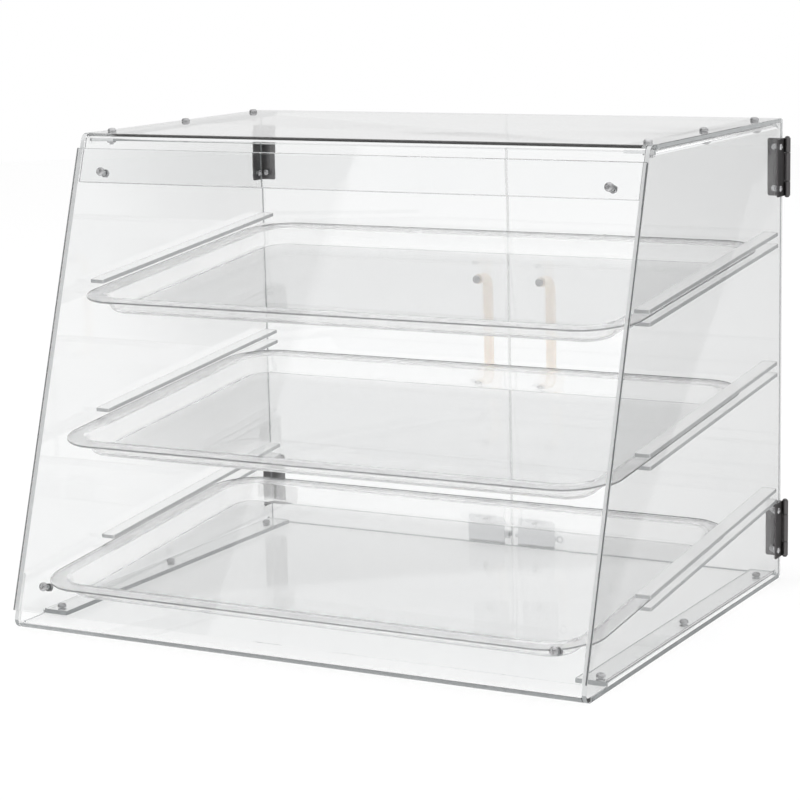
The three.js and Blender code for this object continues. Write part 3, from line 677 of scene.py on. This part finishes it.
def sideLeaf(name, side, middle, shape):
    mesh = bmesh.new()
    half, outer = shape["length"] / 2, shape["wall"] + shape["leaf"]
    plateEnd = shape["rear"] - shape["trim"]
    radii = (shape["corner"], 0, 0, shape["corner"])
    outline = roundedRect((shape["rear"] - shape["reach"], middle - half), (plateEnd, middle + half), radii)
    prismInto(mesh, outline, "x", *sorted((side * shape["wall"], side * outer)))
    spans = [(middle - half, middle - half / 2), (middle + half / 2, middle + half)]
    for start, end in spans:
        bridge = roundedRect((plateEnd - 1, start), (shape["rear"] + shape["barrel"], end), (0, 0, 0, 0))
        prismInto(mesh, bridge, "x", *sorted((side * shape["wall"], side * outer)))
    knuckles(mesh, shape, side, spans)
    return finishEdges(objectFrom(name, mesh), shape["bevel"], gunmetal, bevelAngle=60)


def doorLeaf(name, side, middle, shape):
    mesh = bmesh.new()
    half, outer = shape["length"] / 2, shape["rear"] + shape["leaf"]
    plateEnd = shape["wall"] - shape["trim"]
    near, far = sorted((side * (shape["wall"] - shape["reach"]), side * plateEnd))
    radii = (shape["corner"], 0, 0, shape["corner"]) if side > 0 else (0, shape["corner"], shape["corner"], 0)
    prismInto(mesh, roundedRect((near, middle - half), (far, middle + half), radii), "y", shape["rear"], outer)
    span = (middle - half / 2 + shape["gap"], middle + half / 2 - shape["gap"])
    near, far = sorted((side * (plateEnd - 1), side * (shape["wall"] + shape["barrel"])))
    prismInto(mesh, roundedRect((near, span[0]), (far, span[1]), (0, 0, 0, 0)), "y", shape["rear"], outer)
    knuckles(mesh, shape, side, [span])
    return finishEdges(objectFrom(name, mesh), shape["bevel"], gunmetal, bevelAngle=60)


def hingePin(name, side, middle, shape):
    mesh = bmesh.new()
    half = shape["length"] / 2 + shape["gap"]
    turns = [math.radians(a) for a in shape["capAngles"]]
    cap = [(shape["cap"] * math.cos(a), shape["capHeight"] * math.sin(a)) for a in turns]
    profile = [(r, middle - half - h) for r, h in reversed(cap)]
    profile += [(shape["pin"], middle - half), (shape["pin"], middle + half)]
    profile += [(r, middle + half + h) for r, h in cap]
    turnedInto(mesh, "z", hingeAxis(side, shape), profile)
    return finishEdges(objectFrom(name, mesh), 0, gunmetal, smoothAngle=35)


for sideName, side in sides.items():
    for end in ends:
        middle = hingeMiddle(sideName, end)
        tag = f"{sideName.capitalize()}{end.capitalize()}"
        for make, label, node, body in (
            (sideLeaf, "sideLeaf", "hinge_side_leaf", "case"),
            (hingePin, "hingePin", "hinge_pin", "case"),
            (doorLeaf, "doorLeaf", "hinge_door_leaf", f"door_{sideName}"),
        ):
            settle(make(label + tag, side, middle, hingeShape), body, "gunmetal", f"{node}_{sideName}_{end}")
print("hinges made")

# Bow handles, swept along the line of the grip
handleShape = {
    "radius": 5, "pitch": 104, "reach": 22, "bend": 13, "bore": 2.35, "boreDepth": 9, "bevel": 0.35,
    "bendSteps": 14, "around": 32,
}


def gripLine(shape):
    # Places away from the door and up the grip, with even steps through the two bends
    half, reach, bend = shape["pitch"] / 2, shape["reach"], shape["bend"]
    low = []
    for i in range(shape["bendSteps"] + 1):
        t = i / shape["bendSteps"]
        low.append((reach - bend * (1 - t) ** 2, -half + bend * t * t))
    high = [(away, -up) for away, up in reversed(low)]
    return [(0, -half), *low, *high, (0, half)]


def makeHandle(sideName, shape):
    x, _, middle = middleOf(f"handle_{sideName}")
    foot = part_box(f"handle_{sideName}")[0].y / mm
    line = [Vector((x, foot + away, middle + up)) for away, up in gripLine(shape)]
    mesh = bmesh.new()
    rings = []
    for i, point in enumerate(line):
        before, after = line[max(i - 1, 0)], line[min(i + 1, len(line) - 1)]
        ahead = (after - before).normalized()
        if i in (0, len(line) - 1):
            ahead = Vector((0, 1 if i == 0 else -1, 0))
        across = Vector((1, 0, 0))
        up = ahead.cross(across)
        rings.append(
            [(point + (across * u + up * v)) * mm for u, v in circle(0, 0, shape["radius"], shape["around"])]
        )
    loftInto(mesh, rings)
    piece = objectFrom(f"bowHandle{sideName.capitalize()}", mesh)
    cutter = bmesh.new()
    for height in (middle - shape["pitch"] / 2, middle + shape["pitch"] / 2):
        prismInto(cutter, circle(x, height, shape["bore"], 24), "y", foot - 1, foot + shape["boreDepth"])
    cutAway(piece, objectFrom("handleBores", cutter))
    finishEdges(piece, shape["bevel"], ivory, smoothAngle=35)
    settle(piece, f"door_{sideName}", "ivory", f"handle_{sideName}")


for sideName in sides:
    makeHandle(sideName, handleShape)
print("handles made")

# Slide bolt on the right door and its keeper on the left one
latchShape = {
    "width": 40, "height": 29, "thickness": 1.5, "foot": 2.5, "corner": 3, "rear": 224.5,
    "boltInset": 5.6, "keeperInset": 9, "holeRadius": 1.3, "holePitch": 11.5, "screwDrop": 5,
    "boltRise": 9.5, "tube": 4.0, "bore": 2.5, "sink": 0.5, "bolt": 2.2,
    "ring": 3, "ringWire": 1.1, "ringPlace": 49.5, "ringSteps": 40, "bevel": 0.2,
    "grooves": 3, "groove": 0.35, "groovePitch": 0.9, "tubeChamfer": 0.3,
    "keeperTube": (-25.9, -5.9), "housingTube": (5.6, 31.6),
}


def boltLine(shape):
    out = shape["rear"] + shape["thickness"] + shape["tube"] - shape["sink"]
    return (out, shape["foot"] + shape["boltRise"])


def latchPlate(name, side, inset, tube, shape):
    foot, head = shape["foot"], shape["foot"] + shape["height"]
    near, far = sorted((side * inset, side * (inset + shape["width"])))
    outer = shape["rear"] + shape["thickness"]
    mesh = bmesh.new()
    outline = roundedRect((near, foot), (far, head), (0, 0, shape["corner"], shape["corner"]))
    prismInto(mesh, outline, "y", shape["rear"], outer)
    piece = objectFrom(name, mesh)
    cutter = bmesh.new()
    middle = side * (inset + shape["width"] / 2)
    for step in (-shape["holePitch"], shape["holePitch"]):
        hole = circle(middle + step, head - shape["screwDrop"], shape["holeRadius"], 28)
        prismInto(cutter, hole, "y", shape["rear"] - 1, outer + 1)
    cutAway(piece, objectFrom("spareHoles", cutter))
    finishEdges(piece, shape["bevel"], nickel, bevelAngle=60, smoothAngle=30)
    barrel = bmesh.new()
    radius, chamfer, pitch, (start, end) = shape["tube"], shape["tubeChamfer"], shape["groovePitch"], tube
    # A groove as steps of depth and way along
    walk = ((0, 0), (shape["groove"], 0.12), (shape["groove"], 0.38), (0, 0.5))
    profile = [(shape["bore"], start), (radius - chamfer, start), (radius, start + chamfer)]
    for i in range(shape["grooves"]):
        profile += [(radius - deep, start + pitch + pitch * i + along) for deep, along in walk]
    for i in reversed(range(shape["grooves"])):
        profile += [(radius - deep, end - pitch - pitch * i - along) for deep, along in reversed(walk)]
    profile += [(radius, end - chamfer), (radius - chamfer, end), (shape["bore"], end), (shape["bore"], start)]
    turnedInto(barrel, "x", boltLine(shape), profile, closeEnds=False)
    tubePiece = finishEdges(objectFrom(name + "Tube", barrel), 0, nickel, smoothAngle=25)
    return piece, tubePiece


def joinPieces(name, *pieces):
    mesh = bmesh.new()
    for piece in pieces:
        mesh.from_mesh(piece.data)
    data = bpy.data.meshes.new(name)
    mesh.to_mesh(data)
    mesh.free()
    data.materials.append(pieces[0].data.materials[0])
    for piece in pieces:
        bpy.data.objects.remove(piece)
    return addObject(name, data)


def slideBolt(shape):
    mesh = bmesh.new()
    tip, end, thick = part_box("latch_bolt")[0].x / mm, shape["ringPlace"] - shape["ring"], shape["bolt"]
    profile = [(1.2, tip), (1.9, tip + 0.35), (thick, tip + 0.9), (thick, end - 0.4), (1.6, end)]
    turnedInto(mesh, "x", boltLine(shape), profile)
    shaft = finishEdges(objectFrom("boltShaft", mesh), 0, nickel, smoothAngle=30)
    y, z = boltLine(shape)
    ring = bmesh.new()
    rings = []
    for i in range(shape["ringSteps"]):
        a = 2 * math.pi * i / shape["ringSteps"]
        centre = Vector((shape["ringPlace"] + shape["ring"] * math.cos(a), y, z + shape["ring"] * math.sin(a)))
        out = Vector((math.cos(a), 0, math.sin(a)))
        rings.append(
            [(centre + out * u + Vector((0, 1, 0)) * v) * mm for u, v in circle(0, 0, shape["ringWire"], 16)]
        )
    rings.append(rings[0])
    loftInto(ring, rings, closeEnds=False)
    pull = finishEdges(objectFrom("pullRing", ring), 0, nickel, smoothAngle=40)
    return joinPieces("slideBolt", shaft, pull)


plate, tube = latchPlate("keeperPlate", -1, latchShape["keeperInset"], latchShape["keeperTube"], latchShape)
settle(joinPieces("boltKeeper", plate, tube), "door_left", "nickel", "latch_keeper")
plate, tube = latchPlate("boltPlate", 1, latchShape["boltInset"], latchShape["housingTube"], latchShape)
settle(joinPieces("boltHousing", plate, tube), "door_right", "nickel", "latch_housing")
settle(slideBolt(latchShape), "bolt", "nickel", "latch_bolt")
print("slide bolt made")

# Fasteners: one tree sets heads, threaded shanks and nuts on a cloud of points
screwSizes = {
    "large": {
        "head": 4.0, "headHeight": 3.1, "shank": 2.0, "nut": 3.5, "nutHeight": 2.6, "tip": 1.6,
        "pitch": 0.7, "slot": 1.0,
    },
    "small": {
        "head": 2.9, "headHeight": 1.5, "shank": 1.5, "nut": 2.75, "nutHeight": 2.2, "tip": 0.8,
        "pitch": 0.5, "slot": 0.75,
    },
}
flushNutSize = {"radius": 3.9, "height": 1.9, "recess": 0.2, "chamfer": 0.25, "foot": 2.1, "bevel": 0.12}
threadShare = 0.12  # depth of a thread, as a share of the shank's radius


def hideLoose(piece):
    scene.collection.objects.unlink(piece)
    return piece


def panHead(name, size):
    # A domed head with a cross recess
    r, h = size["head"], size["headHeight"]
    mesh = bmesh.new()
    profile = [(r * 0.94, 0), (r, 0.06 * h), (r, 0.34 * h)]
    for i in range(1, 8):
        a = math.pi / 2 * i / 7
        profile.append((r * (0.42 + 0.58 * math.cos(a)), h * (0.34 + 0.66 * math.sin(a))))
    turnedInto(mesh, "z", (0, 0), profile, 32)
    piece = objectFrom(name, mesh)
    cutter = bmesh.new()
    arm, wide = 0.62 * r, size["slot"] / 2
    for across in (False, True):
        rings = []
        for height, length, width in ((0.28 * h, 0.3 * arm, 0.55 * wide), (1.1 * h, arm * 1.04, wide)):
            box = [(-length, -width), (length, -width), (length, width), (-length, width)]
            box = [(-v, u) if across else (u, v) for u, v in box]
            rings.append([placePoint("z", u, v, height) for u, v in box])
        loftInto(cutter, rings)
    cutAway(piece, objectFrom(name + "Recess", cutter))
    finishEdges(piece, 0, steel, smoothAngle=32)
    return hideLoose(piece)


def hexNut(name, size):
    # A hexagon with its corners turned off at both faces
    r, h = size["nut"], size["nutHeight"]
    wide = r / math.cos(math.pi / 6)
    mesh = bmesh.new()
    prismInto(mesh, circle(0, 0, wide, 6), "z", -h, 0)
    piece = objectFrom(name, mesh)
    cone = bmesh.new()
    profile = [(r * 0.98, -h * 1.001), (wide * 1.02, -h * 0.8), (wide * 1.02, -h * 0.2), (r * 0.98, h * 0.001)]
    turnedInto(cone, "z", (0, 0), profile, 48)
    cutter = objectFrom(name + "Cone", cone)
    keep = piece.modifiers.new("turned", "BOOLEAN")
    keep.operation, keep.solver, keep.object = "INTERSECT", "EXACT", cutter
    toMesh(piece)
    bpy.data.objects.remove(cutter)
    finishEdges(piece, 0, steel, smoothAngle=20)
    return hideLoose(piece)


def flushNut(name, size):
    mesh = bmesh.new()
    low, wide = size["recess"], size["radius"]
    profile = [(wide, low), (wide, low + size["chamfer"]), (size["foot"], low + size["height"])]
    turnedInto(mesh, "z", (0, 0), profile, 32)
    piece = finishEdges(objectFrom(name, mesh), size["bevel"], steel, smoothAngle=30)
    return hideLoose(piece)


def fastenerTree():
    tree, entry, out = newGroup(
        "fastenerSet",
        {
            "Geometry": ("Geometry", None),
            "Head": ("Object", None),
            "Nut": ("Object", None),
            "Finish": ("Material", None),
            "Grip": ("Float", 0.008),
            "Shank Radius": ("Float", 0.002),
            "Shank Beyond": ("Float", 0.004),
            "Thread Pitch": ("Float", 0.0007),
            "Thread Depth": ("Float", 0.00022),
            "Spin Seed": ("Int", 3),
        },
        {"Geometry": "Geometry"},
        "GeometryNodeTree",
    )

    def maths(operation, first, second=None):
        return mathNode(tree, operation, first, second)

    def node(kind, values=None, **settings):
        return addNode(tree, kind, values, **settings)

    # Shank, with its thread as even ridges
    length = maths("ADD", entry["Grip"], entry["Shank Beyond"])
    shank = node("GeometryNodeMeshCylinder", {
        "Vertices": 18,
        "Side Segments": maths("MULTIPLY", maths("DIVIDE", length, entry["Thread Pitch"]), 2.0),
        "Radius": entry["Shank Radius"],
        "Depth": length,
    }, fill_type="NGON")
    place = node("GeometryNodeInputPosition").outputs["Position"]
    apart = node("ShaderNodeSeparateXYZ", {0: place}).outputs
    halfPitch = maths("MULTIPLY", entry["Thread Pitch"], 0.5)
    ripple = maths("PINGPONG", maths("ADD", apart["Z"], 1.0), halfPitch)
    depth = maths("MULTIPLY", entry["Thread Depth"], -1.0)
    inwards = maths("MULTIPLY", maths("DIVIDE", ripple, halfPitch), depth)
    flat = node("ShaderNodeCombineXYZ", {"X": apart["X"], "Y": apart["Y"]}).outputs[0]
    outwards = node("ShaderNodeVectorMath", {0: flat}, operation="NORMALIZE").outputs[0]
    shift = node("ShaderNodeVectorMath", {0: outwards, "Scale": inwards}, operation="SCALE").outputs[0]
    threaded = node("GeometryNodeSetPosition", {"Geometry": shank.outputs["Mesh"], "Offset": shift})

    def lowered(geometry, distance):
        drop = node("ShaderNodeCombineXYZ", {"Z": maths("MULTIPLY", distance, -1.0)}).outputs[0]
        return node("GeometryNodeTransform", {"Geometry": geometry, "Translation": drop}).outputs["Geometry"]

    sunk = lowered(threaded.outputs["Geometry"], maths("MULTIPLY", length, 0.5))
    whole = node("GeometryNodeJoinGeometry", {0: sunk})
    for label in ("Head", "Nut"):
        geometry = node("GeometryNodeObjectInfo", {"Object": entry[label]}).outputs["Geometry"]
        fill(tree, whole, {0: lowered(geometry, entry["Grip"]) if label == "Nut" else geometry})

    # Each one faces the way its point says, with the cross turned by chance
    facing = node("GeometryNodeInputNamedAttribute", {"Name": "facing"}, data_type="FLOAT_VECTOR")
    toTurn = node("FunctionNodeEulerToRotation", {0: facing.outputs["Attribute"]}).outputs[0]
    chance = node("FunctionNodeRandomValue", {3: 2 * math.pi, "Seed": entry["Spin Seed"]}, data_type="FLOAT")
    about = node("ShaderNodeCombineXYZ", {"Z": chance.outputs[1]}).outputs[0]
    spin = node("FunctionNodeEulerToRotation", {0: about}).outputs[0]
    turned = node("FunctionNodeRotateRotation", {0: toTurn, 1: spin}, rotation_space="LOCAL").outputs[0]
    instances = node(
        "GeometryNodeInstanceOnPoints",
        {"Points": entry["Geometry"], "Instance": whole.outputs[0], "Rotation": turned},
    )
    real = node("GeometryNodeRealizeInstances", {"Geometry": instances.outputs["Instances"]})
    paint = node("GeometryNodeSetMaterial", {"Geometry": real.outputs["Geometry"], "Material": entry["Finish"]})
    fill(tree, out, {0: paint.outputs["Geometry"]})
    return tree


fastenerSet = fastenerTree()
heads = {name: panHead(f"{name}Head", screwSizes[name]) for name in ("large", "small")}
nuts = {name: hexNut(f"{name}Nut", screwSizes[name]) for name in ("large", "small")}
nuts["flush"] = flushNut("flushNut", flushNutSize)


def setFasteners(name, body, nodes, points, size, nut, grip, beyond, seed):
    # points are (place in mm, turn about X, Y and Z in degrees)
    cloud = bpy.data.meshes.new(name)
    cloud.from_pydata([Vector(place) * mm for place, turn in points], [], [])
    facing = cloud.attributes.new("facing", "FLOAT_VECTOR", "POINT")
    for item, (place, turn) in zip(facing.data, points):
        item.vector = [math.radians(a) for a in turn]
    piece = addObject(name, cloud)
    modifier = piece.modifiers.new("fasteners", "NODES")
    modifier.node_group = fastenerSet
    look = screwSizes[size]
    values = {
        "Head": heads[size], "Nut": nuts.get(nut), "Finish": steel, "Grip": grip * mm,
        "Shank Radius": look["shank"] * mm, "Shank Beyond": beyond * mm,
        "Thread Pitch": look["pitch"] * mm, "Thread Depth": threadShare * look["shank"] * mm, "Spin Seed": seed,
    }
    for item in fastenerSet.interface.items_tree:
        if item.in_out == "INPUT" and item.name in values:
            modifier[item.identifier] = values[item.name]
    toMesh(piece)
    piece.data.materials.clear()
    piece.data.materials.append(steel)
    piece.data.shade_smooth()
    piece.data.set_sharp_from_angle(angle=math.radians(32))
    settle(piece, body, "steel", *nodes)


# What each kind of screw clamps, and how far its shank goes on beyond that
caseShape = {"height": 432, "leanBack": 137.8, "floorTop": 8}
grips = {"front": 8.9, "top": 8.0, "base": 8.0, "leaf": 5.2, "latch": 5.5, "handle": 4.0}
beyondGrip = {size: screwSizes[size]["nutHeight"] + screwSizes[size]["tip"] for size in screwSizes}
beyondGrip |= {"base": -0.4, "handle": 8.7}
slant = math.atan2(caseShape["leanBack"], caseShape["height"])


def frontFasteners():
    reach = (grips["front"] + beyondGrip["large"] - screwSizes["large"]["headHeight"]) / 2
    axis = Vector((0, -math.cos(slant), math.sin(slant)))
    nodes = [f"front_screw_{side}_{end}" for side in sides for end in ends]
    points = [(Vector(middleOf(node)) + axis * reach, (90 - math.degrees(slant), 0, 0)) for node in nodes]
    setFasteners("frontScrews", "case", nodes, points, "large", "large", grips["front"], beyondGrip["large"], 5)


def sheetFasteners(kind, height, nut, beyond, seed):
    nodes = [f"{kind}_screw_{side}_{row}" for side in sides for row in ("front", "middle", "rear")]
    points = [(Vector((*middleOf(node)[:2], height)), (0, 0, 0)) for node in nodes]
    setFasteners(f"{kind}Screws", "case", nodes, points, "large", nut, grips[kind], beyond, seed)


def leafFasteners(hinge, latch):
    beyond, leaf = beyondGrip["small"], grips["leaf"]
    outer, rear = hinge["wall"] + hinge["leaf"], hinge["rear"]
    steps = (-hinge["screwStep"], hinge["screwStep"])
    heights = [hingeMiddle("left", end) + step for end in ends for step in steps]
    points = [
        (Vector((side * outer, rear - hinge["sideScrewIn"], z)), (0, 90 * side, 0))
        for side in sides.values() for z in heights
    ]
    setFasteners("sideLeafScrews", "case", (), points, "small", "small", leaf, beyond, 2)
    for name, side in sides.items():
        body, tag = f"door_{name}", name.capitalize()
        x = side * (hinge["wall"] - hinge["doorScrewIn"])
        points = [(Vector((x, rear + hinge["leaf"], z)), (-90, 0, 0)) for z in heights]
        setFasteners(f"doorLeafScrews{tag}", body, (), points, "small", "small", leaf, beyond, 4)
        inset = latch["boltInset"] if side > 0 else latch["keeperInset"]
        x, z = side * (inset + latch["width"] / 2), latch["foot"] + latch["height"] - latch["screwDrop"]
        points = [(Vector((x, rear + latch["thickness"], z)), (-90, 0, 0))]
        setFasteners(f"latchScrew{tag}", body, (), points, "small", "small", grips["latch"], beyond, 9)


def handleFasteners():
    for name in sides:
        points, nodes = [], [f"handle_screw_{name}_{end}" for end in ends]
        for node in nodes:
            x, _, z = middleOf(node)
            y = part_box(node)[0].y / mm + screwSizes["large"]["headHeight"]
            points.append((Vector((x, y, z)), (90, 0, 0)))
        label, body = f"handleScrews{name.capitalize()}", f"door_{name}"
        setFasteners(label, body, nodes, points, "large", None, grips["handle"], beyondGrip["handle"], 6)


frontFasteners()
sheetFasteners("top", caseShape["height"], "large", beyondGrip["large"], 11)
sheetFasteners("base", caseShape["floorTop"], "flush", beyondGrip["base"], 7)
leafFasteners(hingeShape, latchShape)
handleFasteners()
for loose in (*heads.values(), *nuts.values()):
    bpy.data.objects.remove(loose)
print("fasteners made")

# Floor, light and surroundings. An edge is a direction x, y, z with the places where it starts and ends.
# A light has a name, a place, an aim, a size in metres and a power in watts.
studio = {
    "floor": 0.6, "floorGlow": 0.41, "floorReach": 5.0, "floorDrop": 0.0005,
    "white": 1.0, "fill": 0.93, "front": 0.1, "frontPanel": 0.8, "rearWall": 0.85, "overhead": 1.0,
    "floorLeft": 0.9, "floorMiddle": 0.3, "floorRight": 1.1, "darkBand": 0.05, "deepInside": 0.6,
    "panelEdge": (1, -0.65, 0, -0.0006, 0.0006),
    "bandStart": (1, -0.3335, 0.357, -0.0007, 0.0007),
    "bandEnd": (1, -0.7, 0, -0.065, 0.02),
    "lights": (
        ("topLight", (0.3, 0.4, 2.6), (0, 0, 0), 2.4, 5),
        ("leftLight", (-2.2, -1.6, 1.5), (0, 0, 0.2), 0.7, 5),
        ("rearLight", (0.6, 2.6, 1.9), (0, 0, 0.1), 0.9, 4),
    ),
}


def softStep(tree, value, low, high):
    values = {"Value": value, "From Min": low, "From Max": high}
    return addNode(tree, "ShaderNodeMapRange", values, interpolation_type="SMOOTHSTEP").outputs["Result"]


def mirroredOnly(tree, path):
    return mathNode(tree, "GREATER_THAN", path["Glossy Depth"], 0.5)


def makeFloor(look):
    mesh = bmesh.new()
    rim = [mesh.verts.new((u, v, -look["floorDrop"])) for u, v in circle(0, 0, look["floorReach"], 96)]
    mesh.faces.new(rim)
    data = bpy.data.meshes.new("studioFloor")
    mesh.to_mesh(data)
    mesh.free()
    piece = addObject("studioFloor", data)
    material, tree, shader, place = startMaterial(
        "paleFloor", Roughness=0.85, Specular_IOR_Level=0.1, Base_Color=(*[look["floor"]] * 3, 1),
        Emission_Color=(1, 1, 1, 1), Emission_Strength=look["floorGlow"],
    )
    path = addNode(tree, "ShaderNodeLightPath").outputs
    fill(tree, shader, {"Alpha": mathNode(tree, "SUBTRACT", 1.0, mirroredOnly(tree, path))})
    data.materials.append(material)


def makeLights(look):
    for name, place, aim, size, power in look["lights"]:
        lamp = bpy.data.lights.new(name, "AREA")
        lamp.shape, lamp.size, lamp.energy = "SQUARE", size, power
        light = addObject(name, lamp)
        light.location = place
        light.rotation_mode = "QUATERNION"
        light.rotation_quaternion = (Vector(aim) - Vector(place)).to_track_quat("-Z", "Y")


def makeSurroundings(look):
    # White all round, and for what is mirrored a dimmer room with a light panel and a dark band
    world = bpy.data.worlds.new("studio")
    scene.world = world
    world.use_nodes = True
    tree = world.node_tree
    direction = addNode(tree, "ShaderNodeTexCoord").outputs["Generated"]
    x, y, z = addNode(tree, "ShaderNodeSeparateXYZ", {0: direction}).outputs

    def step(value, low, high):
        return softStep(tree, value, low, high)

    def edge(name):
        a, b, c, low, high = look[name]
        total = mathNode(tree, "MULTIPLY", x, a)
        for value, factor in ((y, b), (z, c)):
            total = mathNode(tree, "ADD", total, mathNode(tree, "MULTIPLY", value, factor))
        return step(total, low, high)

    bandStart, bandEnd = edge("bandStart"), edge("bandEnd")
    band = mathNode(tree, "MULTIPLY", bandStart, mathNode(tree, "SUBTRACT", 1.0, bandEnd))
    for part in (step(y, 0.3, 0.5), step(z, 0.1, 0.05)):
        band = mathNode(tree, "MULTIPLY", band, part)
    room = mixValue(tree, edge("panelEdge"), look["front"], look["frontPanel"])
    room = mixValue(tree, step(y, -0.2, 0.2), room, look["rearWall"])
    room = mixValue(tree, step(z, 0.6, 0.85), room, look["overhead"])
    below = mixValue(tree, step(x, -0.1, 0.1), look["floorLeft"], look["floorMiddle"])
    below = mixValue(tree, bandEnd, below, look["floorRight"])
    room = mixValue(tree, step(z, 0.0, -0.06), room, below)
    room = mixValue(tree, band, room, look["darkBand"])
    path = addNode(tree, "ShaderNodeLightPath").outputs
    deep = mathNode(tree, "GREATER_THAN", path["Glossy Depth"], 2.5)
    room = mixValue(tree, deep, room, look["deepInside"])
    level = mixValue(tree, mirroredOnly(tree, path), look["white"], room)
    level = mixValue(tree, path["Is Diffuse Ray"], level, look["fill"])
    fill(tree, tree.nodes["Background"], {"Strength": level, "Color": (1, 1, 1, 1)})


makeFloor(studio)
makeLights(studio)
makeSurroundings(studio)
scene.view_settings.view_transform = "Standard"
scene.cycles.max_bounces = 32
scene.cycles.transmission_bounces = 28
scene.cycles.transparent_max_bounces = 48
scene.cycles.glossy_bounces = 10
scene.cycles.diffuse_bounces = 3
scene.cycles.caustics_refractive = False
scene.cycles.caustics_reflective = False
print("studio made")
